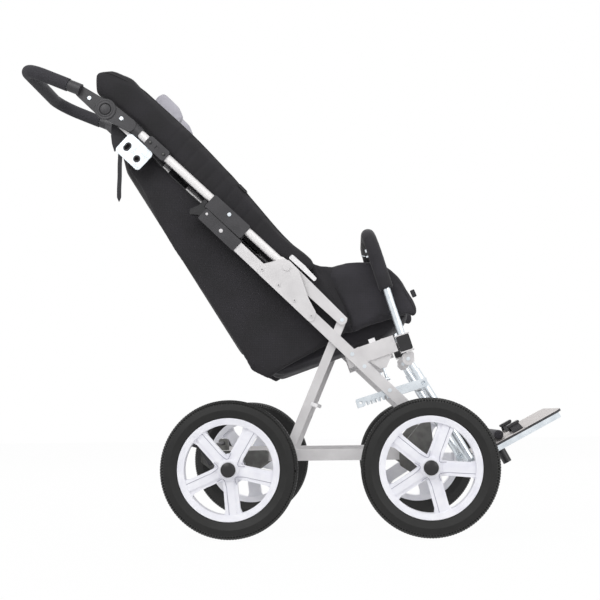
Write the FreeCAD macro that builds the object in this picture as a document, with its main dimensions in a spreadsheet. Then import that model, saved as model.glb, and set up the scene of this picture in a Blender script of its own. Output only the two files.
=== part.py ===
import FreeCAD, Part
import math
import os

# Special needs stroller: a folding push chair with a reclined padded sling seat, four spoked
# wheels, a padded guard bar and a leg rest on toothed racks. Millimetres, +X forward, +Z up.
# The side of the chair at -Y is built first, and its mirror image makes the other side.

doc = FreeCAD.newDocument("stroller")
sheet = doc.addObject("Spreadsheet::Sheet", "Sizes")

SIZES = {
    # wheels
    "rear_axle_x": -118.2,
    "wheelbase": 435,
    "track": 556,
    "wheel_diameter": 300,
    "tyre_width": 47,
    "tyre_wall": 5,
    "tyre_depth": 39,
    "rim_diameter": "=wheel_diameter - 2 * tyre_depth",
    "rim_depth": 14,
    "rim_width": 36,
    "spoke_count": 5,
    "spoke_width": 34,
    "spoke_thickness": 16,
    "spoke_step": 3,
    "hub_diameter": 50,
    "hub_width": 44,
    "axle_diameter": 12,
    "drum_diameter": 68,
    "drum_width": 16,
    "drum_wall": 5,
    "brake_travel": 25,
    "pedal_width": 34,
    "cap_diameter": 32,
    "cap_height": 6,
    "rear_spoke_angle": 59.6,
    "front_spoke_angle": 68.5,
    # frame planes and tubes
    "inner_plane": 152,
    "frame_tube_width": 20,
    "rail_height": 25,
    "rail_centre_height": 175,
    "rail_rear_reach": 45,
    "rail_front_reach": -15,
    "tube_wall": 2,
    "leg_height": 25,
    "leg_angle": 44.3,
    "leg_above_pivot": 211,
    "leg_below_pivot": 462,
    "rear_leg_width": 20,
    "plate_thickness": 3,
    "carrier_boss_diameter": 34,
    # fold pivot and back tubes
    "pivot_x": 125,
    "pivot_height": 602,
    "pivot_offset": 43,
    "pivot_bolt_diameter": 10,
    "back_angle": 43.5,
    "back_tube_diameter": 20,
    "back_tube_length": 500,
    "eye_diameter": 28,
    "eye_thickness": 11,
    "brace_thickness": 8,
    "brace_length": 174,
    "brace_angle": 44.5,
    "brace_root": 32,
    "brace_tip": 22,
    "rear_leg_foot_x": 119,
    # fold lock
    "lock_start": 124,
    "lock_length": 112,
    "lock_width": 24,
    "lock_wall": 2.5,
    "lever_thickness": 14,
    "lever_pin_diameter": 6,
    # handle
    "socket_wall": 3,
    "hinge_reach": 65,
    "hinge_angle": 31,
    "hinge_disc_diameter": 49,
    "hinge_half_thickness": 13.5,
    "button_diameter": 25,
    "button_proud": 4,
    "button_recess": 6,
    "handle_arm_length": 92,
    "handle_arm_angle": 38,
    "handle_angle": 23.1,
    "handle_length": 139.3,
    "handle_tube_diameter": 22,
    "handle_bend": 58,
    "grip_diameter": 31,
    # connector and hanger plate on each back tube
    "connector_length": 62,
    "connector_width": 27.4,
    "connector_place": 380,
    "hanger_plate_length": 76,
    "hanger_plate_depth": 55,
    "hanger_plate_place": 486,
    "hanger_plate_thickness": 2.5,
    # seat supports
    "seat_bar_height": 38,
    "seat_bar_angle": 18.8,
    "seat_bar_length": 118,
    "seat_bar_x": 258,
    "seat_bar_z": 388,
    "cross_tube_diameter": 18,
    # guard bar
    "post_diameter": 18,
    "post_lean": 17,
    "post_foot_x": 390,
    "post_foot_z": 426,
    "post_length": 262,
    "post_bend": 52,
    "guard_pad_diameter": 37,
    "guard_pad_start": 128,
    "clamp_length": 36,
    "clamp_width": 30,
    # leg rest
    "knee_x": 398,
    "knee_z": 390,
    "leg_rest_angle": 59.3,
    "hanger_plane": 143,
    "hanger_tube_diameter": 22,
    "knee_width": 16,
    "hanger_length": 192,
    "stem_diameter": 18.9,
    "stem_start": 120,
    "stem_length": 156,
    "rack_place": 64,
    "rack_length": 158,
    "rack_height": 20,
    "rack_thickness": 4,
    "rack_angle": 16.8,
    "rack_plain_length": 66,
    "rack_tooth_count": 7,
    "rack_tooth_pitch": 11,
    "rack_tooth_depth": 9,
    # footplate
    "footplate_angle": 27.9,
    "footplate_length": 231.5,
    "footplate_width": 264,
    "footplate_thickness": 5,
    "footplate_corner": 22,
    "foot_bar_width": 14,
    "foot_bar_height": 12,
    "heel_roll_diameter": 26,
    "heel_roll_place": 86,
    # upholstery
    "seat_half_width": 139,
    "back_half_width": "=bolster_half_width - bolster_thickness - side_clearance",
    "cushion_half_width": 110.5,
    "wing_half_width": 133,
    "wing_thickness": 22,
    "bolster_half_width": 158,
    "bolster_thickness": 30,
    "wall_thickness": 11,
    "channel_count": 9,
    "channel_diameter": 9,
    # shared fits
    "running_clearance": 0.05,
    "side_clearance": 0.3,
    "rivet_diameter": 9,
    "rivet_height": 2.4,
    "gusset_thickness": 12,
    "screw_diameter": 6,
    "bumper_diameter": 20,
    "strap_thickness": 1.6,
    "foot_strap_width": 26,
    "foot_strap_diameter": 116,
    "foot_strap_rise": 44,
    "strap_recess": 0.5,
    "guide_thickness": 3,
    "rack_pin_place": 362,
}
for row, alias in enumerate(SIZES, start=1):
    sheet.set("A%d" % row, alias)
    sheet.setAlias("B%d" % row, alias)
for row, value in enumerate(SIZES.values(), start=1):
    sheet.set("B%d" % row, str(value))
doc.recompute()

UP = FreeCAD.Vector(0, 0, 1)
ACROSS = FreeCAD.Vector(0, 1, 0)
pieces = []


def size(alias):
    return float(sheet.get(alias))


def bind(thing, prop, formula):
    """Tie a property to the sheet: plain words in the formula are names of its cells."""
    words = formula.split()
    thing.setExpression(prop, " ".join("Sizes." + word if word in SIZES else word for word in words))


def at(x, z, y=0.0):
    """A point of the chair, with x measured forward from the rear axle."""
    return FreeCAD.Vector(size("rear_axle_x") + x, y, z)


def heading(angle):
    """Unit vector in the side view, at an angle above the forward direction."""
    return FreeCAD.Vector(math.cos(math.radians(angle)), 0, math.sin(math.radians(angle)))


def turned(angle):
    """Rotation that lays local X along heading(angle), with local Y still across the chair."""
    return FreeCAD.Rotation(ACROSS, -angle)


def piece(thing, label):
    thing.Label = label
    pieces.append(thing)
    return thing


def pair(thing, label):
    """The piece on both sides of the chair, in one node."""
    mirror = doc.addObject("Part::Mirroring", label + "_mirror")
    mirror.Source = thing
    mirror.Normal = ACROSS
    both = doc.addObject("Part::Compound", label + "_pair")
    both.Links = [thing, mirror]
    return piece(both, label)


def mirrored(thing, label):
    mirror = doc.addObject("Part::Mirroring", label + "_mirror")
    mirror.Source = thing
    mirror.Normal = ACROSS
    return piece(mirror, label)


def together(name, things):
    group = doc.addObject("Part::Compound", name)
    group.Links = things
    return group


def fused(name, things):
    joined = doc.addObject("Part::MultiFuse", name)
    joined.Shapes = things
    return joined


def cut(name, base, tool):
    result = doc.addObject("Part::Cut", name)
    result.Base = base
    result.Tool = tool
    return result


def rod(name, diameter, start, end):
    """Round bar from start to end; diameter is a formula of sheet cells."""
    bar = doc.addObject("Part::Cylinder", name)
    bind(bar, "Radius", "( %s ) / 2" % diameter)
    bar.Height = (end - start).Length
    bar.Placement = FreeCAD.Placement(start, FreeCAD.Rotation(UP, end - start))
    return bar


def pipe(name, diameter, bore, start, end):
    return cut(name, rod(name + "_outside", diameter, start, end), rod(name + "_bore", bore, start, end))


def beam(name, length, width, height, corner, angle):
    """Straight bar of rectangular section from a corner point, along heading(angle)."""
    bar = doc.addObject("Part::Box", name)
    bind(bar, "Length", length)
    bind(bar, "Width", width)
    bind(bar, "Height", height)
    bar.Placement = FreeCAD.Placement(corner, turned(angle))
    return bar


def straight_corners(points):
    """Numbers of the points that lie on a straight run, where there is no corner to round."""
    found = []
    for index, point in enumerate(points):
        angle = (points[index - 1] - point).getAngle(points[(index + 1) % len(points)] - point)
        if angle > math.radians(177):
            found.append(index)
    return found


def rounded(points, radius, straight=None):
    """Closed outline through the points as lines, with each corner rounded by a tangent arc."""
    if straight is None:
        straight = straight_corners(points)
    edges = []
    starts = []
    ends = []
    for index, point in enumerate(points):
        before = points[index - 1]
        after = points[(index + 1) % len(points)]
        to_before = (before - point).normalize()
        to_after = (after - point).normalize()
        half = to_before.getAngle(to_after) / 2
        if index in straight:
            starts.append(point)
            ends.append(point)
            edges.append(None)
            continue
        reach = radius / math.tan(half)
        reach = min(reach, 0.48 * (before - point).Length, 0.48 * (after - point).Length)
        true_radius = reach * math.tan(half)
        bisector = (to_before + to_after).normalize()
        centre = point + bisector * (true_radius / math.sin(half))
        starts.append(point + to_before * reach)
        ends.append(point + to_after * reach)
        edges.append(Part.Arc(starts[-1], centre - bisector * true_radius, ends[-1]))
    outline = []
    for index, arc in enumerate(edges):
        if arc is not None:
            outline.append(arc)
        outline.append(Part.LineSegment(ends[index], starts[(index + 1) % len(points)]))
    return outline


def circle(x, z, diameter):
    return Part.Circle(FreeCAD.Vector(x, z, 0), FreeCAD.Vector(0, 0, 1), diameter / 2)


def sketch_on(body, name, role, geometry, offset=0.0):
    drawing = body.newObject("Sketcher::SketchObject", name)
    plane = [part for part in body.Origin.OriginFeatures if part.Role == role][0]
    drawing.AttachmentSupport = [(plane, "")]
    drawing.MapMode = "FlatFace"
    drawing.AttachmentOffset = FreeCAD.Placement(FreeCAD.Vector(0, 0, offset), FreeCAD.Rotation())
    drawing.addGeometry(geometry, False)
    return drawing


def slab(name, outline, thickness, inner_face, holes=()):
    """Flat piece cut to an outline in the side view. It grows outwards, to -Y, from inner_face."""
    body = doc.addObject("PartDesign::Body", name)
    drawing = sketch_on(body, name + "_outline", "XZ_Plane", list(outline) + list(holes))
    pad = body.newObject("PartDesign::Pad", name + "_pad")
    pad.Profile = drawing
    bind(pad, "Length", thickness)
    body.Placement = FreeCAD.Placement(FreeCAD.Vector(0, -inner_face, 0), FreeCAD.Rotation())
    return body


def flat(point):
    """A side-view point in sketch coordinates."""
    return FreeCAD.Vector(point.x, point.z, 0)


def turned_body(name, profile):
    """Ring or disc turned about the axle: profile points are (radius, distance along the axle)."""
    body = doc.addObject("PartDesign::Body", name)
    corners = [FreeCAD.Vector(radius, along, 0) for radius, along in profile]
    edges = [Part.LineSegment(corners[i - 1], corners[i]) for i in range(len(corners))]
    drawing = sketch_on(body, name + "_profile", "XY_Plane", edges)
    turn = body.newObject("PartDesign::Revolution", name + "_turn")
    turn.Profile = drawing
    turn.ReferenceAxis = (drawing, ["V_Axis"])
    turn.Angle = 360
    return body


def bent_pipe(name, diameter, bore, points, bend):
    """Tube along straight runs with a round bend at each inner point."""
    edges = []
    start = points[0]
    for index in range(1, len(points) - 1):
        corner = points[index]
        back = (points[index - 1] - corner).normalize()
        ahead = (points[index + 1] - corner).normalize()
        half = back.getAngle(ahead) / 2
        reach = bend / math.tan(half)
        bisector = (back + ahead).normalize()
        middle = corner + bisector * (bend / math.sin(half) - bend)
        edges.append(Part.LineSegment(start, corner + back * reach).toShape())
        edges.append(Part.Arc(corner + back * reach, middle, corner + ahead * reach).toShape())
        start = corner + ahead * reach
    edges.append(Part.LineSegment(start, points[-1]).toShape())
    path = doc.addObject("Part::Feature", name + "_path")
    path.Shape = Part.Wire(edges)
    sweeps = []
    for side, formula in (("outside", diameter), ("bore", bore)):
        if formula is None:
            continue
        ring = doc.addObject("Part::Circle", name + "_" + side + "_ring")
        bind(ring, "Radius", "( %s ) / 2" % formula)
        ring.Placement = FreeCAD.Placement(points[0], FreeCAD.Rotation(UP, points[1] - points[0]))
        sweep = doc.addObject("Part::Sweep", name + "_" + side)
        sweep.Sections = [ring]
        sweep.Spine = (path, ["Edge%d" % (number + 1) for number in range(len(edges))])
        sweep.Solid = True
        sweeps.append(sweep)
    if bore is None:
        return sweeps[0]
    return cut(name, sweeps[0], sweeps[1])


def pillow(name, points, corner, near_y, far_y, draw_in):
    """Padded panel: a rounded outline lofted across the chair, drawn in along both edges."""
    span = far_y - near_y
    straight = straight_corners(points)
    sections = []
    stations = ((0.0, draw_in), (0.16, 0.25 * draw_in), (0.5, 0.0), (0.84, 0.25 * draw_in), (1.0, draw_in))
    for number, (share, inset) in enumerate(stations):
        centre = sum(points, FreeCAD.Vector()) * (1.0 / len(points))
        moved = []
        for index, point in enumerate(points):
            before = (points[index - 1] - point).normalize()
            after = (points[(index + 1) % len(points)] - point).normalize()
            inwards = (before + after)
            if inwards.Length < 0.05:
                inwards = centre - point
            inwards.normalize()
            half = before.getAngle(after) / 2
            sign = 1 if inwards.dot(centre - point) > 0 else -1
            moved.append(point + inwards * (sign * inset / max(math.sin(half), 0.6)))
        section = doc.addObject("Part::Feature", "%s_section_%d" % (name, number))
        section.Shape = Part.Wire([edge.toShape() for edge in rounded(moved, corner, straight)])
        section.Placement = FreeCAD.Placement(FreeCAD.Vector(0, near_y + share * span, 0), FreeCAD.Rotation())
        sections.append(section)
    loft = doc.addObject("Part::Loft", name)
    loft.Sections = sections
    loft.Solid = True
    loft.Ruled = True
    return loft


# Frame skeleton
inner_in = size("inner_plane") - size("frame_tube_width") / 2
inner_out = size("inner_plane") + size("frame_tube_width") / 2
outer_out = inner_out + size("frame_tube_width")
outer_plane = inner_out + size("frame_tube_width") / 2
leg_down = heading(-size("leg_angle"))
leg_up = heading(90 - size("leg_angle"))
back_up = heading(180 - size("back_angle"))
back_front = heading(90 - size("back_angle"))
pivot = at(size("pivot_x"), size("pivot_height"))
leg_origin = pivot - leg_up * size("pivot_offset")
axle_height = size("wheel_diameter") / 2
rear_axle = at(0, axle_height)
front_axle = at(size("wheelbase"), axle_height)
rail_top = size("rail_centre_height") + size("rail_height") / 2
rail_low = size("rail_centre_height") - size("rail_height") / 2


def out(point, distance):
    """The same side-view point, at a distance from the middle plane on the -Y side."""
    return FreeCAD.Vector(point.x, -distance, point.z)


def on_leg(along, above):
    return leg_origin + leg_down * along + leg_up * above


def on_back(along, above):
    return pivot + back_up * along + back_front * above


# Wheels: a moulded five-spoke rim, a hollow tyre and a press-in cap on each
def wheel_rim(name):
    rim_out = size("rim_diameter") / 2
    rim_in = rim_out - size("rim_depth")
    half = size("rim_width") / 2
    lip = 3.0
    seat = rim_out - 6.0
    ring = [(rim_in, -half + lip), (rim_out - 2, -half), (rim_out, -half), (rim_out, -half + lip)]
    ring += [(seat, -half + 2 * lip), (seat, half - 2 * lip), (rim_out, half - lip), (rim_out, half)]
    ring += [(rim_out - 2, half), (rim_in, half - lip)]
    body = turned_body(name, ring)
    bore = size("axle_diameter") / 2 + size("running_clearance")
    hub_out = size("hub_diameter") / 2
    hub_half = size("hub_width") / 2
    hub_ring = [(bore, -hub_half), (hub_out - 7, -hub_half), (hub_out, -hub_half + 10)]
    hub_ring += [(hub_out, hub_half - 10), (hub_out - 7, hub_half), (bore, hub_half)]
    corners = [FreeCAD.Vector(radius, along, 0) for radius, along in hub_ring]
    edges = [Part.LineSegment(corners[i - 1], corners[i]) for i in range(len(corners))]
    hub_profile = sketch_on(body, name + "_hub_profile", "XY_Plane", edges)
    hub = body.newObject("PartDesign::Revolution", name + "_hub")
    hub.Profile = hub_profile
    hub.ReferenceAxis = (hub_profile, ["V_Axis"])
    hub.Angle = 360
    hub.Refine = True
    # one spoke, wider at the rim and the hub than at its waist, with a raised step along it
    reach = rim_in + 4
    root = hub_out - 8
    wide = size("spoke_width") / 2
    spoke_points = [(root, -wide), (hub_out + 12, -wide * 0.92), (reach - 16, -wide * 0.92),
                    (reach, -wide * 1.25)]
    spoke_points += [(reach, wide * 1.25), (reach - 16, wide * 0.92), (hub_out + 12, wide * 0.92),
                     (root, wide)]
    outline = [FreeCAD.Vector(x, z, 0) for x, z in spoke_points]
    thick = size("spoke_thickness")
    spoke_edges = [Part.LineSegment(outline[i - 1], outline[i]) for i in range(len(outline))]
    drawing = sketch_on(body, name + "_spoke_outline", "XZ_Plane", spoke_edges, -thick / 2)
    spoke = body.newObject("PartDesign::Pad", name + "_spoke")
    spoke.Profile = drawing
    bind(spoke, "Length", "spoke_thickness")
    step_points = [(root, -wide * 0.45), (reach - 4, -wide * 0.45), (reach - 4, wide * 0.98),
                   (root, wide * 0.86)]
    step_outline = [FreeCAD.Vector(x, z, 0) for x, z in step_points]
    step_edges = [Part.LineSegment(step_outline[i - 1], step_outline[i]) for i in range(len(step_outline))]
    step_drawing = sketch_on(body, name + "_step_outline", "XZ_Plane", step_edges,
                             -thick / 2 - size("spoke_step"))
    step = body.newObject("PartDesign::Pad", name + "_step")
    step.Profile = step_drawing
    bind(step, "Length", "spoke_step")
    fan = body.newObject("PartDesign::PolarPattern", name + "_spokes")
    fan.Originals = [spoke, step]
    fan.Axis = ([part for part in body.Origin.OriginFeatures if part.Role == "Y_Axis"][0], [""])
    fan.Angle = 360
    bind(fan, "Occurrences", "spoke_count")
    body.Tip = fan
    return body


def brake_drum(name):
    """Steel drum round the hub, seated on the backs of the spokes."""
    seat = -size("spoke_thickness") / 2
    wall = size("drum_wall")
    inside = size("hub_diameter") / 2 + size("side_clearance")
    outside = size("drum_diameter") / 2
    open_end = -size("hub_width") / 2 - size("drum_width")
    profile = [(inside, seat), (outside, seat), (outside, open_end), (outside - wall, open_end)]
    profile += [(outside - wall, seat - wall), (inside, seat - wall)]
    return turned_body(name, profile)


def wheel_tyre(name):
    seat = size("rim_diameter") / 2 - 6.0 + size("side_clearance")
    outside = size("wheel_diameter") / 2
    bead = size("rim_width") / 2 - 7.0
    half = size("tyre_width") / 2
    wall = size("tyre_wall")
    lip_out = size("rim_diameter") / 2 + size("side_clearance")
    crown = half * 0.45
    ring = [(seat, -bead), (lip_out, -bead - 1), (lip_out + 1, -half * 0.80), (outside - 22, -half)]
    ring += [(outside - 9, -half * 0.90), (outside - 1.2, -crown), (outside, 0), (outside - 1.2, crown)]
    ring += [(outside - 9, half * 0.90), (outside - 22, half), (lip_out + 1, half * 0.80),
             (lip_out, bead + 1)]
    ring += [(seat, bead), (seat, bead - wall), (outside - 22, half - wall), (outside - 10, half * 0.6)]
    ring += [(outside - wall - 2, 0), (outside - 10, -half * 0.6), (outside - 22, -half + wall),
             (seat, -bead + wall)]
    return turned_body(name, ring)


def wheel_cap(name):
    face = size("hub_width") / 2
    outside = size("cap_diameter") / 2
    tall = size("cap_height")
    profile = [(0, face), (outside, face), (outside, face + tall * 0.5), (outside - 3, face + tall),
               (0, face + tall)]
    return turned_body(name, profile)


for end, axle, spoke_angle in (("rear", rear_axle, "rear_spoke_angle"),
                               ("front", front_axle, "front_spoke_angle")):
    for side, sign in (("right", -1), ("left", 1)):
        # the outer face looks to -Y on the right and to +Y on the left
        facing = FreeCAD.Rotation(ACROSS, -size(spoke_angle))
        if sign < 0:
            facing = FreeCAD.Rotation(ACROSS, -size(spoke_angle)) * FreeCAD.Rotation(FreeCAD.Vector(1, 0,
                                                                                                    0), 180)
        place = FreeCAD.Placement(FreeCAD.Vector(axle.x, sign * size("track") / 2, axle.z), facing)
        label = "%s_%s" % (end, side)
        for make, kind in ((wheel_rim, "rim"), (wheel_tyre, "tyre"), (wheel_cap, "hub_cap")):
            with_drum = kind == "rim" and end == "rear"
            part = make("%s_%s" % (label, "moulding" if with_drum else kind))
            part.Placement = place
            if with_drum:
                drum = brake_drum(label + "_drum")
                drum.Placement = place
                part = together(label + "_rim_set", [part, drum])
            piece(part, "%s_%s" % (label, kind))

# Chassis: rails, legs, plates and axle carriers

def box_tube(name, length, height, corner, angle):
    """Rectangular tube with its wall, its lower rear inner corner at the point given."""
    outside = beam(name + "_outside", length, "frame_tube_width", height, corner, angle)
    wall = size("tube_wall")
    shift = turned(angle).multVec(FreeCAD.Vector(0, wall, wall))
    hollow_width = "frame_tube_width - 2 * tube_wall"
    hollow = beam(name + "_hollow", length, hollow_width, height + " - 2 * tube_wall", corner + shift, angle)
    return cut(name, outside, hollow)


rail_corner = at(-size("rail_rear_reach"), rail_low, -inner_out)
rail = box_tube("rail", "wheelbase + rail_rear_reach + rail_front_reach", "rail_height", rail_corner, 0)
pair(rail, "side_rails")

leg_corner = out(on_leg(-size("leg_above_pivot"), -size("leg_height") / 2), outer_out)
leg = box_tube("front_leg", "leg_above_pivot + leg_below_pivot", "leg_height", leg_corner, -size("leg_angle"))
pair(leg, "front_legs")

# the rear leg stands on the rail and leans forward to the end of the brace
brace_end = pivot + heading(-size("brace_angle")) * size("brace_length")
leg_foot = at(size("rear_leg_foot_x"), size("rail_centre_height"))
lean = brace_end - leg_foot
rear_angle = math.degrees(math.atan2(lean.z, lean.x))
rear_half = size("rear_leg_width") / 2
rear_normal = heading(rear_angle + 90)
rear_length = lean.Length + rear_half
rear_bar = doc.addObject("Part::Box", "rear_leg_bar")
rear_bar.Length = rear_length
bind(rear_bar, "Width", "frame_tube_width")
bind(rear_bar, "Height", "rear_leg_width")
rear_bar.Placement = FreeCAD.Placement(out(leg_foot - rear_normal * rear_half, inner_out), turned(rear_angle))
rear_round = doc.addObject("Part::Fillet", "rear_leg_round")
rear_round.Base = rear_bar
rear_round.Edges = [(number, 4.0, 4.0) for number in (2, 4, 6, 8)]
rear_floor = doc.addObject("Part::Box", "rear_leg_floor")
rear_floor.Length = 200
rear_floor.Width = 60
rear_floor.Height = 100
rear_floor.Placement.Base = out(at(size("rear_leg_foot_x") - 100, rail_top - 100), inner_out + 20)
rear_leg = cut("rear_leg", rear_round, rear_floor)
pair(rear_leg, "rear_legs")

# side plate riveted along the leg, with the fold pivot at its top corner
pivot_up = size("pivot_offset")
plate_points = [on_leg(-44, -13), on_leg(132, -13), on_leg(122, 13), on_leg(86, 25),
                on_leg(24, pivot_up + 14)]
plate_points += [on_leg(-16, pivot_up + 12), on_leg(-44, 12)]
bolt_hole = circle(pivot.x, pivot.z, size("pivot_bolt_diameter"))
plate_outline = rounded([flat(point) for point in plate_points], 12)
side_plate = slab("side_plate", plate_outline, "plate_thickness", outer_out, [bolt_hole])
pair(side_plate, "side_plates")

# brace from the fold pivot to the head of the rear leg
brace_line = (brace_end - pivot).normalize()
brace_side = FreeCAD.Vector(-brace_line.z, 0, brace_line.x)
root = size("brace_root") / 2
tip = size("brace_tip") / 2
brace_points = [pivot - brace_line * root - brace_side * root,
                brace_end + brace_line * tip - brace_side * tip]
brace_points += [brace_end + brace_line * tip + brace_side * tip,
                 pivot - brace_line * root + brace_side * root]
brace_outline = rounded([flat(point) for point in brace_points], tip)
brace = slab("brace", brace_outline, "brace_thickness", inner_out, [bolt_hole])
pair(brace, "braces")

# axle carriers: cast blocks between frame and wheel, each with a long boss for the axle stub
boss_end = size("track") / 2 - size("hub_width") / 2 - 2 * size("side_clearance")


def carrier(name, corners, axle, holes):
    outline = rounded([flat(corner) for corner in corners], 7)
    block = slab(name + "_block", outline, "frame_tube_width", inner_out, holes)
    boss = rod(name + "_boss", "carrier_boss_diameter", out(axle, outer_out), out(axle, boss_end))
    axle_hole = rod(name + "_axle_hole", "axle_diameter", out(axle, inner_in), out(axle, boss_end + 10))
    return cut(name, fused(name + "_blank", [block, boss]), axle_hole)


leg_heel = on_leg(size("leg_below_pivot"), -size("leg_height") / 2)
leg_toe = on_leg(size("leg_below_pivot"), size("leg_height") / 2)
heel_back = FreeCAD.Vector(leg_heel.x - 43.9, 0, 0)
front_corners = [heel_back + UP * rail_top, heel_back + UP * (rail_low - 12)]
front_corners += [front_axle + FreeCAD.Vector(-22, 0, -26), front_axle + FreeCAD.Vector(22, 0, -26)]
front_corners += [leg_toe + leg_down * 12, leg_toe, leg_heel]
brake_pivot = at(-62, rail_top + 9)
rear_corners = [at(-50, rail_top + 20), at(-74, rail_top + 20), at(-74, rail_low),
                at(-24, axle_height - 26), at(24, axle_height - 26)]
rear_corners += [at(78, rail_low), at(78, rail_top), at(-50, rail_top)]
brake_hole = circle(brake_pivot.x, brake_pivot.z, size("rivet_diameter") + 2 * size("running_clearance"))
carriers = [carrier("front_carrier", front_corners, front_axle, [])]
carriers.append(carrier("rear_carrier", rear_corners, rear_axle, [brake_hole]))
pair(together("carrier_set", carriers), "axle_carriers")

# axle stubs from the carriers out through the hubs
stub_out = size("track") / 2 + size("hub_width") / 2 - 1
stub_in = inner_out + 1
stubs = [rod(name, "axle_diameter", out(axle, stub_in), out(axle, stub_out))
         for name, axle in (("rear_stub", rear_axle), ("front_stub", front_axle))]
pair(together("stub_set", stubs), "axle_stubs")

# cross tubes tie the two sides together between the rails and between the seat bars
seat_line = heading(size("seat_bar_angle"))
seat_normal = heading(90 + size("seat_bar_angle"))
seat_origin = at(size("seat_bar_x"), size("seat_bar_z"))


def on_seat(along, above):
    return seat_origin + seat_line * along + seat_normal * above


cross_ends = [at(-8, size("rail_centre_height")), at(size("wheelbase") - 44, size("rail_centre_height"))]
seat_tube_up = size("seat_bar_height") / 2 + 2 - size("cross_tube_diameter") / 2
cross_ends += [on_seat(34, seat_tube_up), on_seat(92, seat_tube_up)]
cross_bore = "cross_tube_diameter - 2 * tube_wall"
cross_tubes = [pipe("cross_tube_%d" % number, "cross_tube_diameter", cross_bore, out(end, inner_in),
                    out(end, -inner_in))
               for number, end in enumerate(cross_ends)]
piece(together("cross_tube_set", cross_tubes), "cross_tubes")

# seat bars, riveted to the inner faces of the front legs
bar_corner = out(on_seat(0, -size("seat_bar_height") / 2), inner_out)
seat_bar = box_tube("seat_bar", "seat_bar_length", "seat_bar_height", bar_corner, size("seat_bar_angle"))
pair(seat_bar, "seat_bars")

# fold lock: a cap on the head of each front leg and a sleeve on each back tube that lands on it
cap_wall = size("lock_wall")
cap_half = size("leg_height") / 2 + cap_wall
cap_start = size("lock_start") - 8
cap_length = size("lock_length")
cap_block = doc.addObject("Part::Box", "lock_cap_block")
bind(cap_block, "Length", "lock_length")
bind(cap_block, "Width", "frame_tube_width + 2 * lock_wall")
bind(cap_block, "Height", "leg_height + 2 * lock_wall")
cap_corner = out(on_leg(-cap_start - cap_length, -cap_half), outer_out + cap_wall)
cap_block.Placement = FreeCAD.Placement(cap_corner, turned(-size("leg_angle")))
cap_round = doc.addObject("Part::Fillet", "lock_cap_round")
cap_round.Base = cap_block
cap_round.Edges = [(number, 2.2, 2.2) for number in (2, 4, 6, 8)]
cap_hollow_length = "lock_length + leg_above_pivot"
cap_hollow = beam("lock_cap_hollow", cap_hollow_length, "frame_tube_width", "leg_height", leg_corner,
                  -size("leg_angle"))
lever_pin = on_leg(-cap_start - cap_length + 9, cap_half - 9)
pin_hole = rod("lever_pin_hole", "lever_pin_diameter", out(lever_pin, outer_plane - 20),
               out(lever_pin, outer_plane + 20))
slot_half = size("lever_thickness") / 2 + size("side_clearance")
lever_slot = doc.addObject("Part::Box", "lever_slot")
lever_slot.Length = 20
lever_slot.Width = 2 * slot_half
lever_slot.Height = 60
slot_corner = out(on_leg(-cap_start - cap_length - 1, -30), outer_plane + slot_half)
lever_slot.Placement = FreeCAD.Placement(slot_corner, turned(-size("leg_angle")))
cap_shell = cut("lock_cap_shell", cap_round, cap_hollow)
cap_slotted = cut("lock_cap_slotted", cap_shell, lever_slot)
pair(cut("lock_cap_drilled", cap_slotted, pin_hole), "lock_caps")

sleeve_start = size("lock_start")
closing = math.sin(math.radians(size("leg_angle") - size("back_angle")))
nearest = size("pivot_offset") - max(closing * sleeve_start, closing * (sleeve_start + cap_length))
sleeve_drop = nearest - cap_half - 2 * size("side_clearance")
sleeve_block = doc.addObject("Part::Box", "lock_sleeve_block")
bind(sleeve_block, "Length", "lock_length")
bind(sleeve_block, "Width", "lock_width")
sleeve_block.Height = sleeve_drop + size("back_tube_diameter") / 2 + cap_wall
sleeve_far = sleeve_start + cap_length
sleeve_corner = out(on_back(sleeve_far, -sleeve_drop), outer_plane + size("lock_width") / 2)
sleeve_block.Placement = FreeCAD.Placement(sleeve_corner, turned(-size("back_angle")))
sleeve_round = doc.addObject("Part::Fillet", "lock_sleeve_round")
sleeve_round.Base = sleeve_block
sleeve_round.Edges = [(2, 5.0, 5.0), (4, 3.0, 3.0), (6, 5.0, 5.0), (8, 3.0, 3.0)]
sleeve_bore = rod("lock_sleeve_bore", "back_tube_diameter", out(on_back(100, 0), outer_plane),
                  out(on_back(260, 0), outer_plane))
pair(cut("lock_sleeve", sleeve_round, sleeve_bore), "lock_sleeves")

# thumb levers in the slotted heads of the lock caps
lever_shape = [(7, 6), (7, -8), (-16, -16), (-30, -28), (-38, -18), (-29, 2), (-29, 22), (-18.8, 22),
               (-18.8, 8)]
lever_points = [lever_pin + leg_down * along + leg_up * above for along, above in lever_shape]
lever_outline = rounded([flat(point) for point in lever_points], 4)
lever_hole = circle(lever_pin.x, lever_pin.z, size("lever_pin_diameter") + 2 * size("running_clearance"))
lever_face = outer_plane - size("lever_thickness") / 2
lever = slab("lever", lever_outline, "lever_thickness", lever_face, [lever_hole])
piece(lever, "lock_lever_right")
mirrored(lever, "lock_lever_left")

# Back frame: tubes with flattened eyes at the fold pivot
eye_start = inner_out + size("brace_thickness") + size("side_clearance")
eye_bore = size("pivot_bolt_diameter") + 2 * size("running_clearance")
neck = 30.0
eye_half = size("eye_diameter") / 2
eye_points = [on_back(-eye_half, -eye_half), on_back(neck, -eye_half + 3), on_back(neck, eye_half - 3)]
eye_points += [on_back(-eye_half, eye_half)]
eye_outline = rounded([flat(point) for point in eye_points], eye_half)
eye = slab("tube_eye", eye_outline, "eye_thickness", eye_start, [circle(pivot.x, pivot.z, eye_bore)])
tube_start = out(on_back(neck - 8, 0), outer_plane)
tube_end = out(on_back(size("back_tube_length"), 0), outer_plane)
tube_bore = "back_tube_diameter - 2 * tube_wall"
tube_body = pipe("back_tube_body", "back_tube_diameter", tube_bore, tube_start, tube_end)
pair(fused("back_tube", [eye, tube_body]), "back_tubes")

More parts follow.
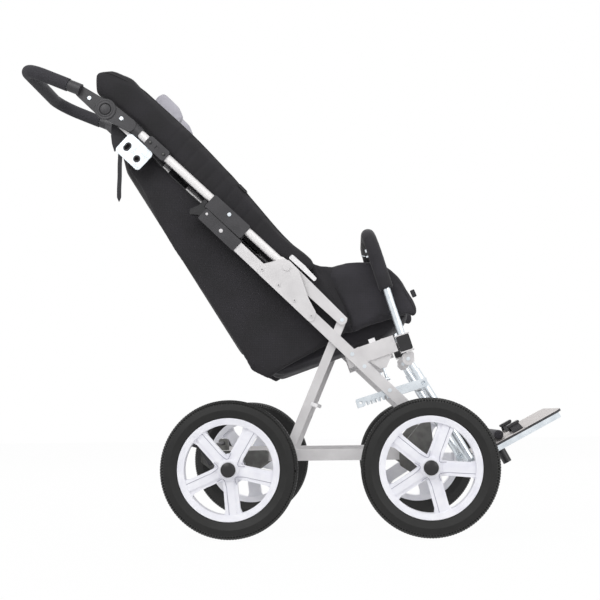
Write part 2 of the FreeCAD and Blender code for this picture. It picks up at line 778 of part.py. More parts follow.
connector_half = size("connector_width") / 2
connector_corner = out(on_back(size("connector_place") + size("connector_length"), -connector_half),
                       outer_plane + connector_half)
connector_block = beam("connector_block", "connector_length", "connector_width", "connector_width",
                       connector_corner, -size("back_angle"))
connector_round = doc.addObject("Part::Fillet", "connector_round")
connector_round.Base = connector_block
connector_round.Edges = [(number, 6.0, 6.0) for number in (2, 4, 6, 8)]
connector_bore = rod("connector_bore", "back_tube_diameter", out(on_back(300, 0), outer_plane),
                     out(on_back(500, 0), outer_plane))
connector_shell = cut("connector_shell", connector_round, connector_bore)
recess = 9.0
recess_corner = out(on_back(size("connector_place") + size("connector_length") / 2 + recess / 2, -recess / 2),
                    outer_plane + connector_half + 1)
connector_recess = doc.addObject("Part::Box", "connector_recess")
connector_recess.Length = recess
connector_recess.Width = 2.6
connector_recess.Height = recess
connector_recess.Placement = FreeCAD.Placement(recess_corner, turned(-size("back_angle")))
pair(cut("connector", connector_shell, connector_recess), "tube_connectors")

# tie-down plates under the back tubes, each with a slot and a round eyelet
plate_top = -connector_half - size("side_clearance")
plate_low = plate_top - size("hanger_plate_depth")
plate_from = size("hanger_plate_place") - size("hanger_plate_length")
tie_corners = [on_back(plate_from, plate_top), on_back(size("hanger_plate_place"), plate_top)]
tie_corners += [on_back(size("hanger_plate_place"), plate_low), on_back(plate_from, plate_low)]
eyelet = on_back(plate_from + 22, plate_low + 20)
slot_from = on_back(size("hanger_plate_place") - 18, plate_low + 18)
slot_to = on_back(size("hanger_plate_place") - 18, plate_low + 34)
slot_side = back_up * 5
slot_corners = [flat(slot_from - slot_side), flat(slot_from + slot_side)]
slot_corners += [flat(slot_to + slot_side), flat(slot_to - slot_side)]
tie_outline = rounded([flat(corner) for corner in tie_corners], 9)
tie_holes = rounded(slot_corners, 4.9) + [circle(eyelet.x, eyelet.z, 11)]
tie_face = outer_plane - size("hanger_plate_thickness") / 2
tie_plate = slab("tie_plate", tie_outline, "hanger_plate_thickness", tie_face, tie_holes)
pair(tie_plate, "tie_plates")

# Handle: hinge halves, angled arms and a padded bow
hinge_line = heading(180 - size("hinge_angle"))
hinge = on_back(size("back_tube_length"), 0) + hinge_line * size("hinge_reach")
disc = size("hinge_disc_diameter") / 2
half_thick = size("hinge_half_thickness")
split = outer_plane


def hinge_half(name, tail, tail_half, inner_face, hole):
    """Flat hinge half: a disc on the hinge axis with an arm to its tube."""
    line = (tail - hinge).normalize()
    side = FreeCAD.Vector(-line.z, 0, line.x)
    corners = [tail + side * tail_half, hinge - line * disc + side * disc, hinge - line * disc - side * disc]
    corners += [tail - side * tail_half]
    outline = rounded([flat(corner) for corner in corners], disc * 0.98)
    return slab(name, outline, "hinge_half_thickness", inner_face, [circle(hinge.x, hinge.z, hole)])


button_bore = size("button_diameter") + 2 * size("running_clearance")
knuckle_tail = on_back(size("back_tube_length") - 18, 0)
knuckle_plate = hinge_half("knuckle_plate", knuckle_tail, 13, split + size("side_clearance") / 2, button_bore)
knuckle_socket = rod("knuckle_socket", "back_tube_diameter + 2 * socket_wall",
                     out(on_back(size("back_tube_length") - 34, 0), outer_plane),
                     out(on_back(size("back_tube_length") + 4, 0), outer_plane))
knuckle_bore = rod("knuckle_bore", "back_tube_diameter", out(on_back(size("back_tube_length") - 60, 0),
                                                             outer_plane),
                   tube_end)
knuckle = cut("knuckle", fused("knuckle_blank", [knuckle_plate, knuckle_socket]), knuckle_bore)
pair(knuckle, "hinge_knuckles")

arm_end = hinge + heading(180 - size("handle_arm_angle")) * size("handle_arm_length")
arm_face = split - size("side_clearance") / 2 - half_thick
bow_start = arm_end - heading(180 - size("handle_angle")) * 12
arm_plate = hinge_half("arm_plate", arm_end, 12, arm_face, size("button_diameter") - 6)
arm_cup = rod("arm_cup", "handle_tube_diameter + 6", out(bow_start, outer_plane),
              out(bow_start + heading(180 - size("handle_angle")) * 30, outer_plane))
arm_bore = rod("arm_bore", "handle_tube_diameter", out(arm_end, outer_plane),
               out(arm_end + heading(180 - size("handle_angle")) * 60, outer_plane))
pair(cut("handle_arm", fused("arm_blank", [arm_plate, arm_cup]), arm_bore), "handle_arms")

bow_corner = arm_end + heading(180 - size("handle_angle")) * size("handle_length")
bow_points = [out(arm_end, outer_plane), out(bow_corner, outer_plane), out(bow_corner, -outer_plane)]
bow_points += [out(arm_end, -outer_plane)]
bow_bore = "handle_tube_diameter - 2 * tube_wall"
piece(bent_pipe("bow_tube", "handle_tube_diameter", bow_bore, bow_points, size("handle_bend")), "handle_tube")
grip_from = arm_end + heading(180 - size("handle_angle")) * 20
grip_points = [out(grip_from, outer_plane), out(bow_corner, outer_plane), out(bow_corner, -outer_plane)]
grip_points += [out(grip_from, -outer_plane)]
piece(bent_pipe("bow_grip", "grip_diameter", "handle_tube_diameter", grip_points, size("handle_bend")),
      "handle_grip")

button_start = split + size("side_clearance") / 2 + size("button_recess")
button_end = split + size("side_clearance") / 2 + half_thick + size("button_proud")
button = rod("hinge_button", "button_diameter", out(hinge, button_start), out(hinge, button_end))
button_soft = doc.addObject("Part::Fillet", "hinge_button_soft")
button_soft.Base = button
button_soft.Edges = [(3, 1.5, 1.5)]
piece(button_soft, "hinge_button_right")
mirrored(button_soft, "hinge_button_left")

# Guard bar: a padded hoop on two posts that stand in clamps at the front of the seat bars
post_up = heading(90 + size("post_lean"))
post_foot = at(size("post_foot_x"), size("post_foot_z"))
post_top = post_foot + post_up * size("post_length")
post_plane = size("inner_plane")
hoop_points = [out(post_foot - post_up * 16, post_plane), out(post_top, post_plane),
               out(post_top, -post_plane)]
hoop_points += [out(post_foot - post_up * 16, -post_plane)]
piece(bent_pipe("hoop_tube", "post_diameter", "post_diameter - 2 * tube_wall", hoop_points,
                size("post_bend")), "guard_bar")
pad_from = post_foot + post_up * size("guard_pad_start")
pad_points = [out(pad_from, post_plane), out(post_top, post_plane), out(post_top, -post_plane),
              out(pad_from, -post_plane)]
piece(bent_pipe("hoop_pad", "guard_pad_diameter", "post_diameter", pad_points, size("post_bend")),
      "guard_pad")

clamp_long = size("clamp_length")
clamp_wide = size("clamp_width")
clamp_corner = out(post_foot - post_up * (clamp_long / 2), post_plane + clamp_wide / 2)
clamp_block = doc.addObject("Part::Box", "clamp_block")
bind(clamp_block, "Length", "clamp_length")
bind(clamp_block, "Width", "clamp_width")
bind(clamp_block, "Height", "clamp_width")
clamp_shift = heading(180 + size("post_lean")) * (-clamp_wide / 2)
clamp_block.Placement = FreeCAD.Placement(clamp_corner + clamp_shift, turned(90 + size("post_lean")))
clamp_round = doc.addObject("Part::Fillet", "clamp_round")
clamp_round.Base = clamp_block
clamp_round.Edges = [(number, 4.0, 4.0) for number in (2, 4, 6, 8)]
clamp_bore = rod("clamp_bore", "post_diameter + 2 * running_clearance",
                 out(post_foot - post_up * 60, post_plane),
                 out(post_foot + post_up * 60, post_plane))
seat_end_cut = beam("seat_end_cut", "seat_bar_length", "clamp_width + clamp_width",
                    "seat_bar_height + clamp_length",
                    out(on_seat(0, -size("seat_bar_height") / 2 - size("clamp_length") / 2),
                        post_plane + clamp_wide),
                    size("seat_bar_angle"))
clamp_bored = cut("clamp_bored", clamp_round, clamp_bore)
pair(cut("post_clamp", clamp_bored, seat_end_cut), "post_clamps")

# Leg rest: hangers on knee pivots, sliding stems, toothed racks and a flip-up footplate
knee = at(size("knee_x"), size("knee_z"))
rest_down = heading(-size("leg_rest_angle"))
hanger_plane = size("hanger_plane")


def on_rest(along, ahead=0.0):
    return knee + rest_down * along + heading(90 - size("leg_rest_angle")) * ahead


hanger_bore = "stem_diameter + 2 * running_clearance"
hanger_from = out(on_rest(30), hanger_plane)
hanger_tube = pipe("hanger_tube", "hanger_tube_diameter", hanger_bore, hanger_from,
                   out(on_rest(size("hanger_length")), hanger_plane))
knee_eye = pipe("knee_eye", "hanger_tube_diameter + 4", "rivet_diameter + 2 * running_clearance",
                out(knee, hanger_plane - size("knee_width") / 2), out(knee,
                                                                      hanger_plane + size("knee_width") / 2))
knee_neck = rod("knee_neck", "knee_width", out(on_rest(9), hanger_plane), out(on_rest(34), hanger_plane))
knee_plug = rod("knee_plug", hanger_bore, out(on_rest(30), hanger_plane), out(on_rest(42), hanger_plane))
hanger_cross_at = on_rest(72)
hanger_cross = rod("hanger_cross", "cross_tube_diameter", out(hanger_cross_at, hanger_plane - 9.7),
                   out(hanger_cross_at, 9.7 - hanger_plane))
hanger_right = fused("hanger_right", [hanger_tube, knee_eye, knee_neck, knee_plug])
hanger_left = doc.addObject("Part::Mirroring", "hanger_left")
hanger_left.Source = hanger_right
hanger_left.Normal = ACROSS
piece(fused("hanger_frame", [hanger_right, hanger_left, hanger_cross]), "leg_hanger")

stem_from = out(on_rest(size("stem_start")), hanger_plane)
stem_end = on_rest(size("stem_start") + size("stem_length"))
stem_bore = "stem_diameter - 2 * tube_wall"
stem_tube = pipe("stem_tube", "stem_diameter", stem_bore, stem_from,
                 out(stem_end - rest_down * 14, hanger_plane))
stem_eye = pipe("stem_eye", "stem_diameter + 6", "rivet_diameter + 2 * running_clearance",
                out(stem_end, hanger_plane - 9),
                out(stem_end, hanger_plane + 9))
stem_neck = rod("stem_neck", "stem_diameter", out(stem_end - rest_down * 18, hanger_plane),
                out(stem_end - rest_down * 9, hanger_plane))
pair(fused("stem", [stem_tube, stem_eye, stem_neck]), "foot_stems")

rack_pivot = on_rest(size("rack_place"))
rack_back = heading(180 + size("rack_angle"))
rack_up = heading(90 + size("rack_angle"))
rack_tall = size("rack_height")


def on_rack(along, above):
    return rack_pivot + rack_back * along + rack_up * above


rack_low = [on_rack(-10, -rack_tall / 2)]
pitch = size("rack_tooth_pitch")
for tooth in range(int(size("rack_tooth_count"))):
    first = size("rack_plain_length") + tooth * pitch
    rack_low += [on_rack(first, -rack_tall / 2),
                 on_rack(first + 1.5, -rack_tall / 2 + size("rack_tooth_depth"))]
    rack_low += [on_rack(first + pitch * 0.6, -rack_tall / 2 + size("rack_tooth_depth"))]
    rack_low += [on_rack(first + pitch * 0.75, -rack_tall / 2)]
rack_rest = [on_rack(size("rack_length"), -rack_tall / 2), on_rack(size("rack_length"), rack_tall / 2)]
rack_rest += [on_rack(-10, rack_tall / 2)]
rack_outline = rounded([flat(point) for point in rack_low + rack_rest], 1.0)
rack_hole = circle(rack_pivot.x, rack_pivot.z, size("rivet_diameter") + 2 * size("running_clearance"))
rack_eyelet = on_rack(size("rack_length") - 10, 0)
rack_face = hanger_plane + size("hanger_tube_diameter") / 2 + size("side_clearance")
rack = slab("rack", rack_outline, "rack_thickness", rack_face,
            [rack_hole, circle(rack_eyelet.x, rack_eyelet.z, 8)])
pair(rack, "adjust_racks")

foot_line = heading(size("footplate_angle"))
foot_up = heading(90 + size("footplate_angle"))


def on_foot(along, above):
    return stem_end + foot_line * along + foot_up * above


foot_half = size("footplate_width") / 2
foot_bar_low = -size("foot_bar_height") / 2
foot_bar_from = 16.0
foot_bar = beam("foot_bar", "footplate_length - 20", "foot_bar_width", "foot_bar_height",
                out(on_foot(foot_bar_from, foot_bar_low), foot_half), size("footplate_angle"))
foot_axle = rod("foot_axle", "rivet_diameter", out(stem_end, hanger_plane + 12),
                out(stem_end, -hanger_plane - 12))
foot_lug = beam("foot_lug", "foot_bar_width + foot_bar_width", "foot_bar_width", "foot_bar_height",
                out(on_foot(-8, foot_bar_low), foot_half), size("footplate_angle"))
foot_right = fused("foot_right", [foot_bar, foot_lug])
foot_left = doc.addObject("Part::Mirroring", "foot_left")
foot_left.Source = foot_right
foot_left.Normal = ACROSS
piece(fused("foot_frame_blank", [foot_right, foot_left, foot_axle]), "foot_frame")

foot_board = doc.addObject("Part::Box", "foot_board")
bind(foot_board, "Length", "footplate_length - 12")
bind(foot_board, "Width", "footplate_width")
bind(foot_board, "Height", "footplate_thickness")
foot_board.Placement = FreeCAD.Placement(out(on_foot(foot_bar_from + 2, -foot_bar_low), foot_half),
                                         turned(size("footplate_angle")))
foot_round = doc.addObject("Part::Fillet", "foot_round")
foot_round.Base = foot_board
foot_round.Edges = [(number, size("footplate_corner"), size("footplate_corner")) for number in (5, 7)]
board_top = -foot_bar_low + size("footplate_thickness")
# a shallow recess across the board takes the ends of the foot straps
strap_place = 118
recess_cut = beam("strap_recess_cut", "foot_strap_width + 4", "footplate_width + 4", "footplate_thickness",
                  out(on_foot(strap_place - 2, board_top - size("strap_recess")), foot_half + 2),
                  size("footplate_angle"))
piece(cut("foot_board_seat", foot_round, recess_cut), "footplate")

roll_radius = size("heel_roll_diameter") / 2
roll_centre = on_foot(size("heel_roll_place"), board_top + roll_radius + size("side_clearance"))
heel_roll = rod("heel_roll_body", "heel_roll_diameter", out(roll_centre, foot_half - 18),
                out(roll_centre, -foot_half + 18))
heel_soft = doc.addObject("Part::Fillet", "heel_soft")
heel_soft.Base = heel_roll
heel_soft.Edges = [(2, 5.0, 5.0), (3, 5.0, 5.0)]
piece(heel_soft, "heel_roll")

# Brake: a cross rod turning in the rear carriers, with a pedal and two shoes that close on the drums
brake_reach = (rear_axle - brake_pivot).Length
brake_line = math.degrees(math.atan2((rear_axle - brake_pivot).z, (rear_axle - brake_pivot).x))
shoe_length = brake_reach - size("drum_diameter") / 2 - size("side_clearance")
shoe_line = heading(brake_line - size("brake_travel"))
shoe_side = FreeCAD.Vector(-shoe_line.z, 0, shoe_line.x)
shoe_face = boss_end - size("drum_width")
brake_rod = rod("brake_rod", "rivet_diameter", out(brake_pivot, shoe_face + 10),
                out(brake_pivot, -shoe_face - 10))
pedal_points = [(4, -6), (4, 6), (-50, 20), (-62, 20), (-62, 12), (-50, 8)]
pedal_corners = [flat(brake_pivot + FreeCAD.Vector(x, 0, z)) for x, z in pedal_points]
pedal = slab("pedal_arm", rounded(pedal_corners, 3), "pedal_width", inner_out + 24)
shoe_corners = [brake_pivot - shoe_line * 7 + shoe_side * 7, brake_pivot - shoe_line * 7 - shoe_side * 7]
shoe_corners += [brake_pivot + shoe_line * shoe_length - shoe_side * 5,
                 brake_pivot + shoe_line * shoe_length + shoe_side * 5]
shoe = slab("brake_shoe", rounded([flat(corner) for corner in shoe_corners], 4), "drum_width - 4", shoe_face)
shoe_left = doc.addObject("Part::Mirroring", "brake_shoe_left")
shoe_left.Source = shoe
shoe_left.Normal = ACROSS
piece(fused("brake_set", [brake_rod, pedal, shoe, shoe_left]), "brake_pedal")

# Upholstery: quilted rim bolsters, back and seat cushions, thigh wings, side walls and head pads
seat_half = size("seat_half_width")
rim_half = size("bolster_half_width")
cushion_half = size("cushion_half_width")
rim_line = [at(-330, 1087), at(-283, 1091), at(-233, 1070), at(-92, 937), at(17, 817), at(122, 690),
            at(171, 638), at(191, 618)]
bolster_low = [at(188, 595), at(150, 581), on_back(60, -16), on_back(300, -16), on_back(470, -4),
               at(-330, 1030)]
bolster_in = rim_half - size("bolster_thickness")
bolster_blank = pillow("bolster_blank", rim_line + bolster_low, 14, -rim_half, -bolster_in, 9)
channels = []
for number in range(int(size("channel_count"))):
    place = on_back(120 + number * 32, 0)
    channels.append(rod("channel_%d" % number, "channel_diameter",
                        out(place - back_front * 30, rim_half + 1.5),
                        out(place + back_front * 120, rim_half + 1.5)))
bolster = cut("bolster", bolster_blank, fused("channel_set", channels))
pair(bolster, "side_bolsters")

back_points = [at(-262, 850), at(22, 392), at(62, 414), at(-225, 872), at(-262, 1020), at(-300, 1010)]
back_half = size("back_half_width")
piece(pillow("back_pad", back_points, 12, -back_half, back_half, 8), "back_cushion")

seat_rest = size("seat_bar_height") / 2 + 2.5
seat_points = [at(52, 366), at(86, 350), on_seat(16, seat_rest), on_seat(106, seat_rest), at(404, 484),
               at(418, 512), at(392, 520), at(250, 466)]
seat_points += [at(86, 394)]
piece(pillow("seat_pad", seat_points, 12, -cushion_half, cushion_half, 8), "seat_cushion")

wing_points = [at(200, 606), at(222, 612), at(258, 617), at(312, 624), at(355, 608), at(386, 578),
               at(425, 503)]
wing_points += [at(404, 486), at(262, 446), at(261, 474), at(225, 552)]
wing_half = size("wing_half_width")
pair(pillow("wing_pad", wing_points, 10, -wing_half, size("wing_thickness") - wing_half, 6), "seat_wings")

wall_points = [at(-253, 848), at(-216, 783), at(-184, 715), at(-145, 650), at(-103, 586), at(36, 367),
               at(76, 345), at(202, 412), at(258, 446),
               at(258, 472)]
wall_points += [at(221, 550), at(200, 586), at(152, 576), on_back(60, -15.5), on_back(440, -15.5)]
wall_in = seat_half - size("wall_thickness")
pair(pillow("wall_pad", wall_points, 10, -seat_half, -wall_in, 3), "side_walls")

head_points = [at(-252.2, 985), at(-203, 1058), at(-184, 1064), at(-138, 1018), at(-122, 986), at(-172, 896)]
head_points += [at(-227.4, 886)]
pair(pillow("head_support", head_points, 12, -100, -72, 6), "head_pads")

strap_corners = [at(-270, 893), at(-260, 893), at(-260, 765), at(-270, 765)]
strap = slab("strap", rounded([flat(corner) for corner in strap_corners], 2), "strap_thickness",
             tie_face + 3.2)
pair(strap, "hanging_straps")

# Clamp plates and knee cheeks at the front of the seat bars, and the gussets that take the T-screws
post_across = heading(size("post_lean"))


def clamp_plate(name, centre, rear, front):
    """Flat plate square to the guard bar post, reaching back and forward of it."""
    plate = doc.addObject("Part::Box", name)
    plate.Length = rear + front
    bind(plate, "Width", "clamp_width")
    bind(plate, "Height", "plate_thickness")
    corner = out(centre - post_across * rear, post_plane + clamp_wide / 2)
    plate.Placement = FreeCAD.Placement(corner, turned(size("post_lean")))
    return cut(name + "_bored", plate, clamp_bore)


top_plate = clamp_plate("top_plate", post_foot + post_up * (clamp_long / 2), 18, 17)
low_plate = clamp_plate("low_plate", post_foot - post_up * (clamp_long / 2 + size("plate_thickness")), 14, 17)
cheek_corners = [knee + FreeCAD.Vector(-13, 0, 11), knee + FreeCAD.Vector(-13, 0, -6),
                 knee + FreeCAD.Vector(-4, 0, -15)]
cheek_corners += [knee + FreeCAD.Vector(6, 0, -15), knee + FreeCAD.Vector(14, 0, -6),
                  knee + FreeCAD.Vector(13, 0, 19)]
cheek_outline = rounded([flat(corner) for corner in cheek_corners], 6)
cheek_hole = circle(knee.x, knee.z, size("rivet_diameter"))
cheek_out = hanger_plane + size("knee_width") / 2 + size("side_clearance")
cheek_in = hanger_plane - size("knee_width") / 2 - size("side_clearance") - size("plate_thickness")
cheeks = [slab("outer_cheek", cheek_outline, "plate_thickness", cheek_out, [cheek_hole]),
          slab("inner_cheek", cheek_outline, "plate_thickness", cheek_in, [cheek_hole])]
gusset_corners = [on_seat(48, -size("seat_bar_height") / 2), on_seat(66, -size("seat_bar_height") / 2 - 24)]
gusset_corners += [on_seat(80, -size("seat_bar_height") / 2 - 26), on_seat(104, -size("seat_bar_height") / 2)]
gusset = slab("gusset_block", [Part.LineSegment(flat(gusset_corners[i - 1]),
                                                flat(gusset_corners[i])) for i in range(4)],
              "gusset_thickness", post_plane - size("gusset_thickness") / 2)
screw_top = on_seat(74, -size("seat_bar_height") / 2 - 6)
screw_low = screw_top + heading(-74) * 46
screw_hole = rod("screw_hole", "screw_diameter + 2 * running_clearance", out(screw_top, post_plane),
                 out(screw_low, post_plane))
pair(together("bracket_set", [top_plate, low_plate, cut("gusset", gusset, screw_hole)] + cheeks),
     "seat_brackets")

screw_shaft = rod("t_screw_shaft", "screw_diameter", out(screw_top, post_plane), out(screw_low, post_plane))
screw_bar = rod("t_screw_bar", "screw_diameter + 1", out(screw_low - heading(16) * 7.5, post_plane),
                out(screw_low + heading(16) * 7.5, post_plane))
t_screw = fused("t_screw", [screw_shaft, screw_bar])
piece(t_screw, "t_screw_right")
mirrored(t_screw, "t_screw_left")

# Moulded white guides: a strip inside each brace that the sling cloth slides over, a clip on each seat bar
strip_corners = [at(128, 626), at(137, 634), at(166, 607), at(193, 577), at(187, 570), at(158, 598)]
strip_face = inner_out - size("side_clearance") - size("guide_thickness")
strip_outline = rounded([flat(corner) for corner in strip_corners], 3)
guide_strip = slab("guide_strip", strip_outline, "guide_thickness", strip_face)
clip_corner = out(on_seat(62, size("seat_bar_height") / 2), inner_out - 3)
guide_clip = beam("guide_clip", "guide_thickness * 5", "guide_thickness * 3", "guide_thickness * 3",
                  clip_corner,
                  size("seat_bar_angle"))
pair(together("guide_set", [guide_strip, guide_clip]), "cloth_guides")

# Foot straps: two bands that arch over the footplate
strap_base = board_top - size("strap_recess")
strap_centre = on_foot(strap_place, strap_base - size("foot_strap_rise"))
strap_ahead = foot_line * size("foot_strap_width")
strap_bore = "foot_strap_diameter - 2 * strap_thickness"
strap_arch = pipe("strap_arch", "foot_strap_diameter", strap_bore, out(strap_centre, foot_half / 2),
                  out(strap_centre + strap_ahead, foot_half / 2))
strap_cut = strap_base + size("side_clearance")
strap_floor = beam("strap_floor", "foot_strap_width + 20", "footplate_width", "footplate_width",
                   out(on_foot(strap_place - 10, strap_cut - size("footplate_width")), foot_half),
                   size("footplate_angle"))
pair(cut("foot_strap", strap_arch, strap_floor), "foot_straps")

# Bumpers of the footplate
bumper_top = on_foot(72, foot_bar_low)
bumper = rod("bumper", "bumper_diameter", out(bumper_top, foot_half - 12),
             out(bumper_top - foot_up * 32, foot_half - 12))
pair(bumper, "foot_bumpers")


# Rivets, bolts and pivot pins, one group for each body that carries them
def rivet(name, point, face):
    """Stepped rivet head on an outer face."""
    brim = rod(name + "_brim", "rivet_diameter", out(point, face),
               out(point, face + size("rivet_height") * 0.55))
    crown = rod(name + "_crown", "rivet_diameter - 3", out(point, face + size("rivet_height") * 0.5),
                out(point, face + size("rivet_height")))
    return fused(name, [brim, crown])


plate_face = outer_out + size("plate_thickness")
screw_spots = [on_leg(-37, 0), on_leg(15, 0), on_leg(66, 0), on_leg(118, 0)]
frame_heads = [rivet("plate_screw_%d" % number, spot, plate_face) for number, spot in enumerate(screw_spots)]
leg_spots = [at(271, 401), at(298, 373)]
frame_heads += [rivet("leg_rivet_%d" % number, spot, outer_out) for number, spot in enumerate(leg_spots)]
frame_heads.append(rivet("cap_rivet", on_leg(-cap_start - 52, 0), outer_out + cap_wall))
frame_heads.append(rivet("brace_rivet", brace_end, inner_out + size("brace_thickness")))
pivot_shank = rod("pivot_shank", "pivot_bolt_diameter", out(pivot, inner_out), out(pivot, plate_face))
pivot_head = rod("pivot_head", "pivot_bolt_diameter + 8", out(pivot, plate_face), out(pivot, plate_face + 3))
frame_heads.append(fused("pivot_bolt", [pivot_shank, pivot_head]))
frame_heads.append(rod("lever_pin", "lever_pin_diameter",
                       out(lever_pin, outer_plane - size("frame_tube_width") / 2 - cap_wall),
                       out(lever_pin, outer_out + cap_wall + 1)))
knee_pin = rod("knee_pin", "rivet_diameter", out(knee, cheek_in),
               out(knee, cheek_out + size("plate_thickness") + 2))
frame_heads.append(knee_pin)
rack_pin_spot = on_leg(size("rack_pin_place"), 0)
rack_pin = rod("rack_pin", "rivet_diameter - 1",
               out(rack_pin_spot, rack_face + size("rack_thickness") + 2 * size("side_clearance")),
               out(rack_pin_spot, inner_out))
frame_heads.append(rack_pin)
frame_heads.append(rivet("rack_pin_head", rack_pin_spot, outer_out))
pair(together("frame_head_set", frame_heads), "frame_rivets")

connector_face = outer_plane + connector_half
connector_spots = [on_back(size("connector_place") + 10, 0),
                   on_back(size("connector_place") + size("connector_length") - 10, 0)]
back_heads = [rivet("connector_screw_%d" % number, spot, connector_face) for number,
              spot in enumerate(connector_spots)]
back_heads.append(rivet("sleeve_rivet", on_back(sleeve_start + cap_length / 2, 0),
                        outer_plane + size("lock_width") / 2))
knuckle_face = split + size("side_clearance") / 2 + half_thick
back_heads.append(rivet("knuckle_rivet", hinge - hinge_line * 44, knuckle_face))
pair(together("back_head_set", back_heads), "back_rivets")

arm_spot = hinge + heading(180 - size("handle_arm_angle")) * 52
pair(rivet("arm_rivet", arm_spot, split - size("side_clearance") / 2), "handle_rivets")

doc.recompute()

failed = [thing.Name for thing in doc.Objects if "Invalid" in thing.State or "Error" in thing.State]
if failed:
    raise RuntimeError("these objects failed: " + ", ".join(failed))
for part in pieces:
    if part.Shape.isNull() or not part.Shape.isValid():
        raise RuntimeError("bad shape: " + part.Label)
os.makedirs("parts", exist_ok=True)
for part in pieces:
    part.Shape.exportStep("parts/%s.step" % part.Label)
    box = part.Shape.BoundBox
    print("%-20s solids %d  x %.0f..%.0f  y %.0f..%.0f  z %.0f..%.0f" % (
        part.Label, len(part.Shape.Solids), box.XMin, box.XMax, box.YMin, box.YMax, box.ZMin, box.ZMax))
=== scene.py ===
import bpy
import bmesh
import math
from mathutils import Matrix, Vector, noise
from mathutils.bvhtree import BVHTree


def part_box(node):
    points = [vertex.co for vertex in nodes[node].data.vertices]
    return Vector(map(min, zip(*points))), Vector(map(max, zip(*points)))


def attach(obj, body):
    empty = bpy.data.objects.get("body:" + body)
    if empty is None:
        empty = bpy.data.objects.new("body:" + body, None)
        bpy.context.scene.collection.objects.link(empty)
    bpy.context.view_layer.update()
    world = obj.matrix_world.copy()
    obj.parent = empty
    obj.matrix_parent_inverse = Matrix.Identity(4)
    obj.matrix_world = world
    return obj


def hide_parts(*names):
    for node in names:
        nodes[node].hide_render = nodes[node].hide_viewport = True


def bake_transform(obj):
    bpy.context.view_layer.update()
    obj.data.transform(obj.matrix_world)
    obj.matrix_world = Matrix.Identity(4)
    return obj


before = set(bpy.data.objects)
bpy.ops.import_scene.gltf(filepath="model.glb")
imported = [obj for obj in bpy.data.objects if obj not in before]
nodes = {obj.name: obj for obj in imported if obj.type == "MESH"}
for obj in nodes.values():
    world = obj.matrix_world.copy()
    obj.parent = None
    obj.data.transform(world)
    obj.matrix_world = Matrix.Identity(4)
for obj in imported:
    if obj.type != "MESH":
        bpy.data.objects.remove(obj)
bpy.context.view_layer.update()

scene = bpy.context.scene

# The studio: a white paper sweep, a white sky and three soft lamps.
# The camera stands where the photograph was taken, low and almost square to the right side.
stand_x, stand_y, stand_z = 0.1546, -2.7916, 0.2692
yaw, pitch, roll = -0.0454, 0.0980, -0.0131
ahead = Vector((math.sin(yaw) * math.cos(pitch), math.cos(yaw) * math.cos(pitch), math.sin(pitch)))
level = Vector((math.cos(yaw), -math.sin(yaw), 0.0))
upright = level.cross(ahead)
right = math.cos(roll) * level + math.sin(roll) * upright
above = math.cos(roll) * upright - math.sin(roll) * level
eye = bpy.data.cameras.new("photo_camera")
eye.sensor_width = 36.0
eye.lens = 69.19
eye.clip_end = 60.0
camera = bpy.data.objects.new("photo_camera", eye)
camera.matrix_world = Matrix((
    (right.x, above.x, -ahead.x, stand_x),
    (right.y, above.y, -ahead.y, stand_y),
    (right.z, above.z, -ahead.z, stand_z),
    (0.0, 0.0, 0.0, 1.0)))
scene.collection.objects.link(camera)
scene.camera = camera
scene.view_settings.view_transform = "Standard"


def srgb(code):
    """Linear colour of a hex value such as d8d6d6."""
    shades = [int(code[i:i + 2], 16) / 255.0 for i in (0, 2, 4)]
    return [s / 12.92 if s <= 0.04045 else ((s + 0.055) / 1.055) ** 2.4 for s in shades] + [1.0]


def add_node(tree, kind, inputs, ramp=None, **settings):
    """Adds a node with its settings; an input is a number, a colour or another node's output."""
    made = tree.nodes.new(kind)
    for key, value in settings.items():
        setattr(made, key, value)
    for key, value in inputs.items():
        if isinstance(value, bpy.types.NodeSocket):
            tree.links.new(value, made.inputs[key])
        else:
            made.inputs[key].default_value = value
    for place, (position, colour) in enumerate(ramp or []):
        if place > 1:
            made.color_ramp.elements.new(position)
        made.color_ramp.elements[place].position = position
        made.color_ramp.elements[place].color = colour
    return made


def new_material(name):
    """An empty material and its tree, shader and Object coordinates."""
    made = bpy.data.materials.new(name)
    made.use_nodes = True
    tree = made.node_tree
    spot = add_node(tree, "ShaderNodeTexCoord", {})
    return made, tree, tree.nodes["Principled BSDF"], spot.outputs["Object"]


def tint(tree, shader, value, deep, faded):
    """Colours a shader between two tones by a pattern's value; a tone is a position and a hex value."""
    ramp = [(position, srgb(code)) for position, code in (deep, faded)]
    tone = add_node(tree, "ShaderNodeValToRGB", {"Fac": value}, ramp=ramp)
    tree.links.new(tone.outputs["Color"], shader.inputs["Base Color"])


def dress(material, *names):
    """Gives CAD nodes their finish."""
    for name in names:
        nodes[name].data.materials.clear()
        nodes[name].data.materials.append(material)


world = bpy.data.worlds.new("studio")
scene.world = world
world.use_nodes = True
sky = world.node_tree
path_kind = add_node(sky, "ShaderNodeLightPath", {})
seen = add_node(sky, "ShaderNodeMath", {0: path_kind.outputs["Is Camera Ray"],
                                        1: path_kind.outputs["Is Glossy Ray"]}, operation="MAXIMUM")
glow = add_node(sky, "ShaderNodeMapRange", {"Value": seen.outputs[0], "To Min": 0.42, "To Max": 1.0})
sky.nodes["Background"].inputs["Color"].default_value = srgb("ffffff")
sky.links.new(glow.outputs[0], sky.nodes["Background"].inputs["Strength"])

